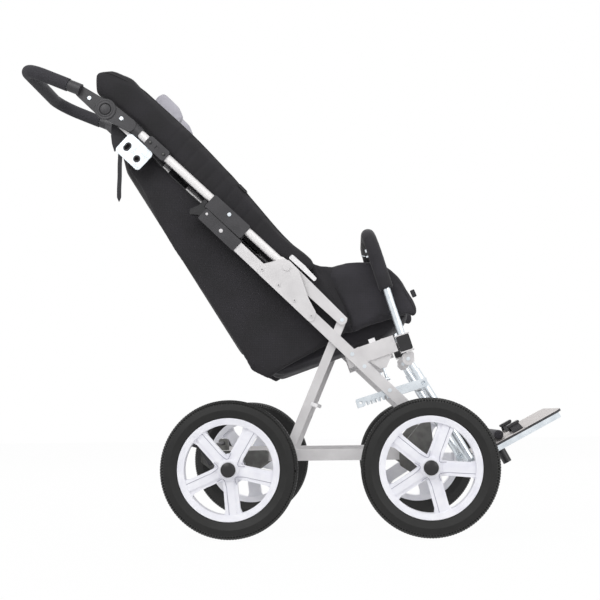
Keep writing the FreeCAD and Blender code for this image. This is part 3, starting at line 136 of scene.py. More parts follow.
floor_mesh = bpy.data.meshes.new("floor")
half = 9.0
corners = [(-half, -half, 0), (half, -half, 0), (half, half, 0), (-half, half, 0)]
floor_mesh.from_pydata(corners, [], [(0, 1, 2, 3)])
floor = bpy.data.objects.new("floor", floor_mesh)
scene.collection.objects.link(floor)
floor_paint, tree, shader, coords = new_material("white_paper_sweep")
shader.inputs["Base Color"].default_value = srgb("fbfbfb")
shader.inputs["Roughness"].default_value = 0.9
path_kind = add_node(tree, "ShaderNodeLightPath", {})
white = add_node(tree, "ShaderNodeEmission", {"Color": srgb("ffffff"), "Strength": 1.0})
shown = add_node(tree, "ShaderNodeMath", {0: path_kind.outputs["Is Camera Ray"],
                                          1: path_kind.outputs["Is Glossy Ray"]}, operation="MAXIMUM")
part_white = add_node(tree, "ShaderNodeMath", {0: shown.outputs[0], 1: 0.975}, operation="MULTIPLY")
mixed = add_node(tree, "ShaderNodeMixShader", {"Fac": part_white.outputs[0], 1: shader.outputs[0],
                                               2: white.outputs[0]})
tree.links.new(mixed.outputs[0], tree.nodes["Material Output"].inputs["Surface"])
floor_mesh.materials.append(floor_paint)

lit_spot = Vector((0.0, 0.0, 0.5))
for name, place, size, power in (("key_lamp", (-1.6, -3.0, 3.2), 2.4, 80),
                                 ("fill_lamp", (2.6, -2.4, 2.0), 2.4, 40),
                                 ("back_lamp", (0.2, 2.8, 2.8), 2.2, 45)):
    lamp = bpy.data.lights.new(name, "AREA")
    lamp.energy = power
    lamp.size = size
    holder = bpy.data.objects.new(name, lamp)
    holder.location = place
    holder.rotation_euler = (lit_spot - Vector(place)).to_track_quat("-Z", "Y").to_euler()
    scene.collection.objects.link(holder)

# Frame tubes, legs, plates and braces: extruded aluminium, blasted and clear anodised.
# The eye gets a pale warm grey with soft reflections and faint lengthways drawing lines.
leg_lean = 44.0
alloy, tree, shader, coords = new_material("satin_anodised_aluminium")
stretch = add_node(tree, "ShaderNodeMapping", {"Vector": coords,
                                               "Rotation": (0.0, math.radians(leg_lean), 0.0),
                                               "Scale": (30.0, 700.0, 700.0)})
lines = add_node(tree, "ShaderNodeTexNoise", {"Vector": stretch.outputs[0], "Scale": 1.0, "Detail": 4.0})
cloud = add_node(tree, "ShaderNodeTexNoise", {"Vector": coords, "Scale": 22.0, "Detail": 3.0})
tint(tree, shader, cloud.outputs["Fac"], (0.3, "cbc9ca"), (0.7, "d9d7d8"))
dull = add_node(tree, "ShaderNodeMapRange", {"Value": lines.outputs["Fac"], "To Min": 0.32, "To Max": 0.48})
tree.links.new(dull.outputs[0], shader.inputs["Roughness"])
ridge = add_node(tree, "ShaderNodeBump", {"Height": lines.outputs["Fac"], "Strength": 0.06,
                                          "Distance": 0.0004})
tree.links.new(ridge.outputs[0], shader.inputs["Normal"])
shader.inputs["Metallic"].default_value = 0.45
dress(alloy, "side_rails", "front_legs", "rear_legs", "side_plates", "braces", "seat_bars", "cross_tubes",
      "seat_brackets", "frame_rivets")

# Axle carriers: aluminium die castings, dull metal with cloudy flow marks.
# Their dark grey is painted shade, where they sit inside the wheels behind the spokes.
cast, tree, shader, coords = new_material("grey_casting_painted_shade")
cloud = add_node(tree, "ShaderNodeTexNoise", {"Vector": coords, "Scale": 70.0, "Detail": 5.0})
tint(tree, shader, cloud.outputs["Fac"], (0.3, "5d5c5a"), (0.7, "70706d"))
shader.inputs["Roughness"].default_value = 0.5
shader.inputs["Metallic"].default_value = 0.3
dress(cast, "axle_carriers")

# Back tubes: round drawn aluminium tube, the frame's aluminium toned almost white beside the blasted legs:
# the lighter tone is painted light.
# The draw lines run along the tube and only break up the highlight.
recline = 43.5
bright, tree, shader, coords = new_material("aluminium_tube_painted_light")
stretch = add_node(tree, "ShaderNodeMapping", {"Vector": coords,
                                               "Rotation": (0.0, math.radians(recline), 0.0),
                                               "Scale": (20.0, 600.0, 600.0)})
lines = add_node(tree, "ShaderNodeTexNoise", {"Vector": stretch.outputs[0], "Scale": 1.0, "Detail": 3.0})
tint(tree, shader, lines.outputs["Fac"], (0.3, "e9e7e7"), (0.7, "efeded"))
dull = add_node(tree, "ShaderNodeMapRange", {"Value": lines.outputs["Fac"], "To Min": 0.22, "To Max": 0.34})
tree.links.new(dull.outputs[0], shader.inputs["Roughness"])
shader.inputs["Metallic"].default_value = 0.35
dress(bright, "back_tubes")

# Guard bar, leg hanger, foot frame, tie plates, brackets and all fasteners: zinc plated steel.
# The eye gets a brighter bluish white with cloudy patches from the plating bath.
zinc, tree, shader, coords = new_material("bright_zinc_plate")
patch = add_node(tree, "ShaderNodeTexNoise", {"Vector": coords, "Scale": 60.0, "Detail": 5.0,
                                              "Roughness": 0.6})
tint(tree, shader, patch.outputs["Fac"], (0.35, "d2d9df"), (0.65, "e4eaef"))
dull = add_node(tree, "ShaderNodeMapRange", {"Value": patch.outputs["Fac"], "To Min": 0.24, "To Max": 0.32})
tree.links.new(dull.outputs[0], shader.inputs["Roughness"])
shader.inputs["Metallic"].default_value = 0.9
dress(zinc, "tie_plates", "guard_bar", "leg_hanger", "foot_stems", "foot_frame", "adjust_racks",
      "back_rivets", "handle_rivets", "t_screw_right", "t_screw_left", "axle_stubs", "handle_tube")
# the fasteners in front of the side plates are steel, those on the plates are aluminium
steel_from = 0.075
nodes["frame_rivets"].data.materials.append(zinc)
for face in nodes["frame_rivets"].data.polygons:
    face.material_index = 1 if face.center.x > steel_from else 0

# Lock, connectors, hinge halves and brake: injection moulded glass-filled nylon.
# The eye gets a dark neutral grey with a fine spark-eroded grain, about 0.8 mm, drawn at 3 mm to show.
nylon, tree, shader, coords = new_material("grained_black_nylon")
grain = add_node(tree, "ShaderNodeTexVoronoi", {"Vector": coords, "Scale": 330.0})
cloud = add_node(tree, "ShaderNodeTexNoise", {"Vector": coords, "Scale": 35.0, "Detail": 3.0})
tint(tree, shader, cloud.outputs["Fac"], (0.3, "2b2a2d"), (0.7, "363538"))
bumps = add_node(tree, "ShaderNodeBump", {"Height": grain.outputs["Distance"], "Strength": 0.15,
                                          "Distance": 0.0006})
tree.links.new(bumps.outputs[0], shader.inputs["Normal"])
shader.inputs["Roughness"].default_value = 0.5
dress(nylon, "lock_caps", "lock_sleeves", "tube_connectors", "hinge_knuckles", "handle_arms",
      "hinge_button_right", "hinge_button_left", "brake_pedal")

# Lock levers, post clamps and bumpers: ABS moulded in a polished tool, deep black.
# The eye gets a clean highlight that breaks a little over slow waves in the skin.
polished, tree, shader, coords = new_material("polished_black_abs")
sink = add_node(tree, "ShaderNodeTexNoise", {"Vector": coords, "Scale": 60.0, "Detail": 2.0})
tint(tree, shader, sink.outputs["Fac"], (0.3, "141416"), (0.7, "1d1c1f"))
waves = add_node(tree, "ShaderNodeBump", {"Height": sink.outputs["Fac"], "Strength": 0.1, "Distance": 0.0008})
tree.links.new(waves.outputs[0], shader.inputs["Normal"])
shader.inputs["Roughness"].default_value = 0.3
dress(polished, "lock_lever_right", "lock_lever_left", "post_clamps", "foot_bumpers")
screw_head = 0.007
connector_screws = ((-0.2761, 0.8705), (-0.3066, 0.8994))
nodes["back_rivets"].data.materials.append(polished)
for face in nodes["back_rivets"].data.polygons:
    away = min(math.hypot(face.center.x - x, face.center.z - z) for x, z in connector_screws)
    face.material_index = 1 if away < screw_head else 0

# Footplate: a board faced with light grey laminate on top, its edge and underside dark.
# It lies on the foot frame. The eye gets a matt, faintly mottled face.
plate_pitch = 27.9
top_facing = 0.9
board, tree, shader, coords = new_material("grey_laminate_board")
scuff = add_node(tree, "ShaderNodeTexNoise", {"Vector": coords, "Scale": 90.0, "Detail": 6.0})
tint(tree, shader, scuff.outputs["Fac"], (0.3, "b9b3b1"), (0.7, "cbc6c4"))
shader.inputs["Roughness"].default_value = 0.6
dress(board, "footplate")
nodes["footplate"].data.materials.append(nylon)
plate_up = Vector((-math.sin(math.radians(plate_pitch)), 0.0, math.cos(math.radians(plate_pitch))))
for face in nodes["footplate"].data.polygons:
    face.material_index = 0 if face.normal.dot(plate_up) > top_facing else 1

# Rims: moulded white nylon with five stepped spokes, slightly lavender in the light.
# The eye gets a satin skin with a faint flow pattern. Each turns on an axle stub with its tyre and hub cap.
wheelbase = 0.435
rear_axle_back = 0.1182
ends = {"rear": -rear_axle_back, "front": wheelbase - rear_axle_back}
axle_z = 0.150
wheel_sides = (("right", -0.278), ("left", 0.278))
drum_inner, drum_outer, drum_start = 0.0252, 0.0342, 0.0085
tread_ribs = 150.0
for end, axle_x in ends.items():
    for side, axle_y in wheel_sides:
        label = "%s_%s" % (end, side)
        rim, tree, shader, coords = new_material("white_nylon_rim_" + label)
        flow = add_node(tree, "ShaderNodeTexNoise", {"Vector": coords, "Scale": 40.0, "Detail": 3.0})
        tint(tree, shader, flow.outputs["Fac"], (0.3, "e8e8f0"), (0.7, "f3f3f8"))
        shader.inputs["Roughness"].default_value = 0.38
        dress(rim, label + "_rim")
        # the brake drum on a rear rim is zinc plated steel: its faces lie round the hub on the inner side
        nodes[label + "_rim"].data.materials.append(zinc)
        for face in nodes[label + "_rim"].data.polygons:
            reach = math.hypot(face.center.x - axle_x, face.center.z - axle_z)
            inward = abs(axle_y) - abs(face.center.y)
            if end == "rear" and drum_inner < reach < drum_outer and inward > drum_start:
                face.material_index = 1
        # Tyre: black rubber, moulded with fine ribs across the crown and a smooth side wall.
        # It sits on the bead of the rim, and the eye gets a satin black with a little dust.
        tyre, tree, shader, coords = new_material("black_tyre_rubber_" + label)
        centred = add_node(tree, "ShaderNodeMapping", {"Vector": coords,
                                                        "Location": (-axle_x, -axle_y, -axle_z)})
        split = add_node(tree, "ShaderNodeSeparateXYZ", {"Vector": centred.outputs[0]})
        turn = add_node(tree, "ShaderNodeMath", {0: split.outputs["Z"], 1: split.outputs["X"]},
                        operation="ARCTAN2")
        ribs = add_node(tree, "ShaderNodeMath", {0: turn.outputs[0], 1: tread_ribs}, operation="MULTIPLY")
        wave = add_node(tree, "ShaderNodeMath", {0: ribs.outputs[0]}, operation="SINE")
        squared = add_node(tree, "ShaderNodeVectorMath", {0: centred.outputs[0], 1: (1.0, 0.0, 1.0)},
                           operation="MULTIPLY")
        radius = add_node(tree, "ShaderNodeVectorMath", {0: squared.outputs[0]}, operation="LENGTH")
        crown = add_node(tree, "ShaderNodeMapRange", {"Value": radius.outputs["Value"], "From Min": 0.138,
                                                      "From Max": 0.142})
        tread = add_node(tree, "ShaderNodeMath", {0: wave.outputs[0], 1: crown.outputs[0]},
                         operation="MULTIPLY")
        bumps = add_node(tree, "ShaderNodeBump", {"Height": tread.outputs[0], "Strength": 0.35,
                                                  "Distance": 0.0008})
        tree.links.new(bumps.outputs[0], shader.inputs["Normal"])
        dust = add_node(tree, "ShaderNodeTexNoise", {"Vector": coords, "Scale": 50.0, "Detail": 4.0})
        tint(tree, shader, dust.outputs["Fac"], (0.3, "0b0b0b"), (0.7, "131312"))
        shader.inputs["Roughness"].default_value = 0.48
        shader.inputs["Specular IOR Level"].default_value = 0.4
        dress(tyre, label + "_tyre")
        dress(polished, label + "_hub_cap")

# Cloth guides: small white nylon mouldings, a strip inside each brace and a clip on each seat bar.
# The eye gets the same satin white as the rims, a touch warmer.
guide, tree, shader, coords = new_material("white_nylon_guides")
flow = add_node(tree, "ShaderNodeTexNoise", {"Vector": coords, "Scale": 50.0, "Detail": 2.0})
tint(tree, shader, flow.outputs["Fac"], (0.3, "e9e8ea"), (0.7, "f4f3f4"))
shader.inputs["Roughness"].default_value = 0.4
dress(guide, "cloth_guides")

# Handle grip: closed-cell foam tube, pushed over the steel bow of the handle.
# The eye gets a soft dark grey with fine pores, about 1 mm, drawn at 2.4 mm to show.
foam, tree, shader, coords = new_material("closed_cell_foam")
pores = add_node(tree, "ShaderNodeTexVoronoi", {"Vector": coords, "Scale": 420.0})
tint(tree, shader, pores.outputs["Distance"], (0.1, "232225"), (0.6, "343338"))
bumps = add_node(tree, "ShaderNodeBump", {"Height": pores.outputs["Distance"], "Strength": 0.3,
                                          "Distance": 0.0008})
tree.links.new(bumps.outputs[0], shader.inputs["Normal"])
shader.inputs["Roughness"].default_value = 0.88
dress(foam, "handle_grip")

# Upholstery cloth: woven polyester over foam. The thread pitch is about 0.6 mm and is drawn
# at 4 mm so that it shows; the eye gets a soft sheen and slightly faded high spots.
def woven(name, deep, faded):
    """Cloth of one dye, from its deep to its faded colour."""
    made, tree, shader, coords = new_material(name)
    pitch_scale = 78.0
    warp = add_node(tree, "ShaderNodeTexWave", {"Vector": coords, "Scale": pitch_scale}, bands_direction="X")
    weft = add_node(tree, "ShaderNodeTexWave", {"Vector": coords, "Scale": pitch_scale}, bands_direction="Z")
    weave = add_node(tree, "ShaderNodeMath", {0: warp.outputs["Fac"], 1: weft.outputs["Fac"]},
                     operation="MULTIPLY")
    fade = add_node(tree, "ShaderNodeTexNoise", {"Vector": coords, "Scale": 14.0, "Detail": 5.0})
    both = add_node(tree, "ShaderNodeMath", {0: weave.outputs[0], 1: 0.12, 2: fade.outputs["Fac"]},
                    operation="MULTIPLY_ADD")
    tint(tree, shader, both.outputs[0], (0.3, deep), (0.75, faded))
    bumps = add_node(tree, "ShaderNodeBump", {"Height": weave.outputs[0], "Strength": 0.25,
                                              "Distance": 0.0006})
    tree.links.new(bumps.outputs[0], shader.inputs["Normal"])
    shader.inputs["Roughness"].default_value = 0.85
    shader.inputs["Sheen Weight"].default_value = 0.10
    shader.inputs["Sheen Roughness"].default_value = 0.5
    return made


# One black polyester in three tones: the rolls and the walls are toned darker as painted shade, and the seat,
# wings, guard pad and heel roll lighter as painted light.
painted_shade_cloth_rolls = woven("black_cloth_painted_shade_rolls", "100f12", "1d1b20")
painted_shade_cloth_walls = woven("black_cloth_painted_shade_walls", "131215", "211f24")
cloth = woven("black_cloth_painted_light_seat", "1a191d", "2c2a30")


def stuffed(name, source, shrink, voxel, swell, cap, added=(), ease=4):
    """A padded piece grown from its CAD solid: drawn in, remeshed, eased, blown up as cloth and capped."""
    mesh = nodes[source].data.copy()
    mesh.materials.clear()
    piece = bpy.data.objects.new(name, mesh)
    scene.collection.objects.link(piece)
    shell = bmesh.new()
    shell.from_mesh(mesh)
    for outline, inner, outer in added:
        for side in (-1, 1):
            near = [shell.verts.new((x, side * inner, z)) for x, z in outline]
            far = [shell.verts.new((x, side * outer, z)) for x, z in outline]
            shell.faces.new(near)
            shell.faces.new(far)
            for place in range(len(outline)):
                shell.faces.new((near[place - 1], near[place], far[place], far[place - 1]))
    bmesh.ops.remove_doubles(shell, verts=shell.verts, dist=0.00002)
    bmesh.ops.recalc_face_normals(shell, faces=shell.faces)
    shell.to_mesh(mesh)
    shell.free()
    voxels = piece.modifiers.new("voxels", "REMESH")
    voxels.mode = "VOXEL"
    voxels.voxel_size = voxel
    bpy.context.view_layer.update()
    remade = bpy.data.meshes.new_from_object(piece.evaluated_get(bpy.context.evaluated_depsgraph_get()))
    piece.modifiers.clear()
    piece.data = remade
    drawn = [vertex.co - vertex.normal * shrink for vertex in remade.vertices]
    for vertex, place in zip(remade.vertices, drawn):
        vertex.co = place
    shell = bmesh.new()
    shell.from_mesh(remade)
    for turn in range(ease):
        bmesh.ops.smooth_vert(shell, verts=shell.verts, factor=0.5, use_axis_x=True, use_axis_y=True,
                              use_axis_z=True)
    shell.to_mesh(remade)
    shell.free()
    start = [vertex.co.copy() for vertex in remade.vertices]
    last_frame = 20
    puff = piece.modifiers.new("puff", "CLOTH")
    puff.settings.use_pressure = True
    puff.settings.uniform_pressure_force = swell
    puff.settings.effector_weights.gravity = 0.0
    puff.settings.quality = 4
    puff.settings.tension_stiffness = 20.0
    puff.settings.compression_stiffness = 20.0
    puff.point_cache.frame_start = 1
    puff.point_cache.frame_end = last_frame
    for number in range(1, last_frame + 1):
        scene.frame_set(number)
    grown = bpy.data.meshes.new_from_object(piece.evaluated_get(bpy.context.evaluated_depsgraph_get()))
    piece.modifiers.clear()
    for vertex, was in zip(grown.vertices, start):
        moved = vertex.co - was
        if moved.length > cap:
            vertex.co = was + moved.normalized() * cap
    piece.data = grown
    scene.frame_set(1)
    smooth = piece.modifiers.new("smooth", "SUBSURF")
    smooth.levels = 1
    smooth.render_levels = 1
    bpy.context.view_layer.update()
    done = bpy.data.meshes.new_from_object(piece.evaluated_get(bpy.context.evaluated_depsgraph_get()))
    piece.modifiers.clear()
    piece.data = done
    for face in done.polygons:
        face.use_smooth = True
    return piece


def wear(piece, material, body, slot, *replaced):
    """Gives a piece its finish, its body and the CAD nodes that it stands for; the slot is not used."""
    piece.data.materials.clear()
    piece.data.materials.append(material)
    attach(piece, body)
    if replaced:
        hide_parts(*replaced)


# Sewn lines: cords, stitches and rows of small blocks that follow lines laid on a finished piece.
# Each is grown by a node tree and kept as plain mesh.
def onto(piece, spots, side, lift=0.0):
    """Where lines across the chair through side-view spots first meet a piece, from the side given."""
    tree = BVHTree.FromPolygons([vertex.co for vertex in piece.data.vertices],
                                [face.vertices for face in piece.data.polygons])
    found = []
    for x, z in spots:
        hit = tree.ray_cast(Vector((x, side * 0.5, z)), Vector((0.0, -side, 0.0)))[0]
        hit = hit or tree.find_nearest(Vector((x, side * 0.15, z)))[0]
        found.append(hit + Vector((0.0, side * lift, 0.0)))
    return found


def smooth_line(points, steps=6):
    """A soft line through the points."""
    spots = [Vector(point) for point in points]
    line = []
    for place in range(len(spots) - 1):
        before = spots[max(place - 1, 0)]
        start, end = spots[place], spots[place + 1]
        after = spots[min(place + 2, len(spots) - 1)]
        for step in range(steps):
            t = step / steps
            line.append(0.5 * (2 * start + (end - before) * t
                               + (2 * before - 5 * start + 4 * end - after) * t * t
                               + (3 * start - before - 3 * end + after) * t ** 3))
    return line + [spots[-1]]


def sockets(tree, names):
    """Gives a node tree its geometry and named inputs and its geometry output."""
    tree.interface.new_socket("Geometry", in_out="INPUT", socket_type="NodeSocketGeometry")
    for label, kind in names:
        tree.interface.new_socket(label, in_out="INPUT", socket_type=kind)
    tree.interface.new_socket("Geometry", in_out="OUTPUT", socket_type="NodeSocketGeometry")
    return add_node(tree, "NodeGroupInput", {})


cord = bpy.data.node_groups.new("cord_along_a_path", "GeometryNodeTree")
entry = sockets(cord, (("Radius", "NodeSocketFloat"), ("Material", "NodeSocketMaterial")))
line = add_node(cord, "GeometryNodeMeshToCurve", {"Mesh": entry.outputs["Geometry"]})
ring = add_node(cord, "GeometryNodeCurvePrimitiveCircle", {"Resolution": 8,
                                                         "Radius": entry.outputs["Radius"]})
tube = add_node(cord, "GeometryNodeCurveToMesh", {"Curve": line.outputs[0], "Profile Curve": ring.outputs[0],
                                                 "Fill Caps": True})
whole = add_node(cord, "GeometryNodeRealizeInstances", {"Geometry": tube.outputs[0]})
coat = add_node(cord, "GeometryNodeSetMaterial", {"Geometry": whole.outputs[0],
                                                  "Material": entry.outputs["Material"]})
add_node(cord, "NodeGroupOutput", {"Geometry": coat.outputs[0]})

row = bpy.data.node_groups.new("blocks_in_a_row", "GeometryNodeTree")
entry = sockets(row, (("Spacing", "NodeSocketFloat"), ("Size", "NodeSocketVector"),
                      ("Material", "NodeSocketMaterial")))
line = add_node(row, "GeometryNodeMeshToCurve", {"Mesh": entry.outputs["Geometry"]})
spots = add_node(row, "GeometryNodeCurveToPoints", {"Curve": line.outputs[0],
                                                     "Length": entry.outputs["Spacing"]}, mode="LENGTH")
along = add_node(row, "FunctionNodeAlignRotationToVector", {"Vector": spots.outputs["Tangent"]}, axis="Z")
cube = add_node(row, "GeometryNodeMeshCube", {"Size": entry.outputs["Size"]})
placed = add_node(row, "GeometryNodeInstanceOnPoints", {"Points": spots.outputs["Points"],
                                                        "Instance": cube.outputs[0],
                                                        "Rotation": along.outputs[0]})
whole = add_node(row, "GeometryNodeRealizeInstances", {"Geometry": placed.outputs[0]})
coat = add_node(row, "GeometryNodeSetMaterial", {"Geometry": whole.outputs[0],
                                                 "Material": entry.outputs["Material"]})
add_node(row, "NodeGroupOutput", {"Geometry": coat.outputs[0]})


def follow(name, paths, body, slot, tree, **values):
    """Lays a node tree along lines and keeps the result as plain mesh on a body."""
    places, edges = [], []
    for path in paths:
        first = len(places)
        places += [tuple(spot) for spot in path]
        edges += [(first + number, first + number + 1) for number in range(len(path) - 1)]
    mesh = bpy.data.meshes.new(name)
    mesh.from_pydata(places, edges, [])
    made = bpy.data.objects.new(name, mesh)
    scene.collection.objects.link(made)
    grow = made.modifiers.new("grow", "NODES")
    grow.node_group = tree
    for entry in tree.interface.items_tree:
        if entry.name in values:
            grow[entry.identifier] = values[entry.name]
    bpy.context.view_layer.update()
    made.data = bpy.data.meshes.new_from_object(made.evaluated_get(bpy.context.evaluated_depsgraph_get()))
    made.modifiers.clear()
    if body:
        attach(made, body)
    return made


# Rim bolsters: foam rolls in black cloth, sewn along both back tubes with a corded edge.
# Stitch lines across each roll pull the foam into shallow channels.
pivot = Vector((0.0068, 0.0, 0.602))
back_up = Vector((-math.cos(math.radians(recline)), 0.0, math.sin(math.radians(recline))))
back_front = Vector((math.sin(math.radians(recline)), 0.0, math.cos(math.radians(recline))))
bolsters = stuffed("rim_bolsters", "side_bolsters", shrink=0.003, voxel=0.005, swell=4.0, cap=0.006, ease=14)
quilt_start, quilt_end, quilt_y = 0.10, 0.42, 0.13
first_channel, channel_pitch, channel_width = 0.120, 0.032, 0.0045
channel_depth, depth_spread, channel_wander = 0.0010, 0.0008, 0.006
outward = [vertex.normal.copy() for vertex in bolsters.data.vertices]
for vertex, normal in zip(bolsters.data.vertices, outward):
    along = (vertex.co - pivot).dot(back_up)
    if quilt_start < along < quilt_end and abs(vertex.co.y) > quilt_y:
        slant = along + channel_wander * noise.noise(vertex.co * 14.0)
        nearest = abs((slant - first_channel + channel_pitch / 2) % channel_pitch - channel_pitch / 2)
        pull = channel_depth + depth_spread * noise.noise(vertex.co * 9.0)
        vertex.co -= normal * pull * math.exp(-(nearest / channel_width) ** 2)
wear(bolsters, painted_shade_cloth_rolls, "back_frame", "black_cloth", "side_bolsters")
rim_edge = ((-0.440, 1.070), (-0.412, 1.076), (-0.371, 1.057), (-0.332, 1.035), (-0.286, 0.999),
            (-0.241, 0.959), (-0.196, 0.920), (-0.151, 0.873), (-0.127, 0.847), (-0.109, 0.822),
            (-0.063, 0.757), (-0.004, 0.683), (0.044, 0.633))
thread, tree, shader, coords = new_material("black_bonded_thread")
shader.inputs["Base Color"].default_value = srgb("1c1b1d")
shader.inputs["Roughness"].default_value = 0.75
piping = [smooth_line(onto(bolsters, rim_edge, side)) for side in (-1, 1)]
follow("rim_piping", piping, "back_frame", "black_cloth", cord, Radius=0.0018, Material=thread)

# Back cushion: the reclined inner back of the sling, one long crowned foam pad.
# It is sewn into the sling between the two bolsters, in the same cloth as the walls.
back = stuffed("back_pad", "back_cushion", shrink=0.003, voxel=0.006, swell=4.0, cap=0.006)
wear(back, painted_shade_cloth_walls, "back_frame", "black_cloth", "back_cushion")

# Seat cushion: a firm foam squab in black cloth.
# It lies between the wings on the tubes of the seat.
squab = stuffed("seat_squab", "seat_cushion", shrink=0.003, voxel=0.006, swell=4.0, cap=0.006)
wear(squab, cloth, "chassis", "black_cloth", "seat_cushion")

# Thigh wings: padded cloth sides that turn up beside the rider's legs.
# Foam is sewn in between two rows of stitches, one along the rear edge and one along the front.
knee_edge = ((0.106, 0.612), (0.120, 0.615), (0.142, 0.6206), (0.172, 0.623), (0.194, 0.621), (0.235, 0.611),
             (0.248, 0.602), (0.265, 0.586), (0.275, 0.573), (0.288, 0.551), (0.302, 0.527), (0.309, 0.508),
             (0.309, 0.498), (0.300, 0.487), (0.273, 0.494), (0.255, 0.543), (0.225, 0.590), (0.120, 0.595))
wing_inner, wing_outer = 0.111, 0.133
wings = stuffed("thigh_wings", "seat_wings", shrink=0.0025, voxel=0.005, swell=4.0, cap=0.006,
                added=((knee_edge, wing_inner, wing_outer),))
wear(wings, cloth, "chassis", "black_cloth", "seat_wings")
rear_seam = ((0.094, 0.597), (0.121, 0.550), (0.141, 0.510), (0.158, 0.474), (0.160, 0.456))
front_seam = ((0.190, 0.612), (0.232, 0.600), (0.262, 0.570), (0.285, 0.530), (0.298, 0.505))
stitch_pitch, stitch_lift = 0.0045, 0.0003
stitch_size = (0.0011, 0.0011, 0.0030)
seams = []
for side in (-1, 1):
    for seam in (rear_seam, front_seam):
        seams.append(smooth_line(onto(wings, seam, side, stitch_lift)))
follow("wing_stitches", seams, "chassis", "black_cloth", row, Spacing=stitch_pitch, Size=stitch_size,
       Material=thread)

# Side walls: lightly padded cloth that closes the sling between back, bolsters and seat.
# They are sewn to both, and here they lie fixed, attached to no body.
# The hip and the band along the brace are second layers, each from its inner to its outer distance.
hip = ((0.040, 0.650), (0.057, 0.626), (0.075, 0.617), (0.102, 0.612), (0.121, 0.611), (0.135, 0.598),
       (0.141, 0.566), (0.147, 0.508), (0.160, 0.450), (0.126, 0.452), (0.116, 0.508), (0.080, 0.568),
       (0.064, 0.592), (0.048, 0.611))
band = ((0.042, 0.646), (0.058, 0.627), (0.076, 0.604), (0.131, 0.497), (0.149, 0.466), (0.139, 0.468),
        (0.100, 0.530), (0.059, 0.602))
walls = stuffed("sling_walls", "side_walls", shrink=0.002, voxel=0.004, swell=2.0, cap=0.004,
                added=((hip, 0.112, 0.132), (band, 0.120, 0.139)))
fold_depth, ripple_depth = 0.0022, 0.0007
outward = [vertex.normal.copy() for vertex in walls.data.vertices]
for vertex, normal in zip(walls.data.vertices, outward):
    spot = vertex.co
    fold = noise.noise(Vector((spot.x * 9.0 + spot.z * 5.0, spot.y * 4.0, spot.z * 4.0)))
    ripple = noise.noise(Vector((spot.x * 26.0, spot.y * 9.0, spot.z * 14.0)))
    vertex.co += normal * (fold_depth * fold + ripple_depth * ripple)
walls.data.materials.append(painted_shade_cloth_walls)
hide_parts("side_walls")
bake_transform(walls)
hem = ((-0.034, 0.371), (0.009, 0.386), (0.046, 0.400), (0.083, 0.414))
band_rear = ((0.064, 0.596), (0.101, 0.531), (0.138, 0.474))
band_front = ((0.078, 0.600), (0.104, 0.550), (0.131, 0.497))
wall_seams = []
for side in (-1, 1):
    for seam in (hem, band_rear, band_front):
        wall_seams.append(smooth_line(onto(walls, seam, side, stitch_lift), steps=12))
wall_stitches = follow("wall_stitches", wall_seams, None, "black_cloth", row, Spacing=stitch_pitch,
                       Size=stitch_size, Material=thread)
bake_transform(wall_stitches)

# Head pads: foam side supports for the head, in light grey cloth.
# They lie on the back cushion beside the bolsters, clear of the back tubes.
grey = woven("grey_head_cloth", "a9a7b0", "bfbdc6")
heads = stuffed("head_supports", "head_pads", shrink=0.002, voxel=0.005, swell=4.0, cap=0.005)
least_depth, head_sink, shortened = 0.020, 0.004, 0.20
head_foot = min((vertex.co - pivot).dot(back_up) for vertex in heads.data.vertices)
for vertex in heads.data.vertices:
    rise = (vertex.co - pivot).dot(back_up) - head_foot
    depth = (vertex.co - pivot).dot(back_front)
    vertex.co += back_front * (max(0.0, least_depth - depth) - head_sink) - back_up * rise * shortened
wear(heads, grey, "back_frame", "grey_cloth", "head_pads")

# Guard pad: a black cloth sleeve, zipped over the foam on the guard bar.
# The foam is thickest over the crown of the bar.
pad = stuffed("guard_sleeve", "guard_pad", shrink=0.001, voxel=0.005, swell=3.0, cap=0.003)
crown_foot, crown_height = 0.56, 0.13
crown_shift = Vector((-0.0015, 0.0, 0.0055))
for vertex in pad.data.vertices:
    crown = max(0.0, (vertex.co.z - crown_foot) / crown_height)
    vertex.co += crown_shift * crown ** 2
wear(pad, cloth, "guard", "black_cloth", "guard_pad")

# Heel roll: a stuffed roll of black cloth.
# It lies across the footplate behind the heels.
roll_pad = stuffed("heel_bolster", "heel_roll", shrink=0.001, voxel=0.004, swell=3.0, cap=0.003)
wear(roll_pad, cloth, "foot", "black_cloth", "heel_roll")

# Hanging strap: narrow black webbing that hangs behind the right tie plate and is cut to a point.
# Its ribs are about 1 mm apart and are drawn at 3 mm to show.
def from_shell(name, shell):
    """A linked object from a finished shell, which is freed."""
    mesh = bpy.data.meshes.new(name)
    shell.to_mesh(mesh)
    shell.free()
    made = bpy.data.objects.new(name, mesh)
    scene.collection.objects.link(made)
    return made


def thicken(piece, thickness):
    """Gives a flat sheet its thickness, half to each side."""
    thick = piece.modifiers.new("thick", "SOLIDIFY")
    thick.thickness = thickness
    thick.offset = 0.0


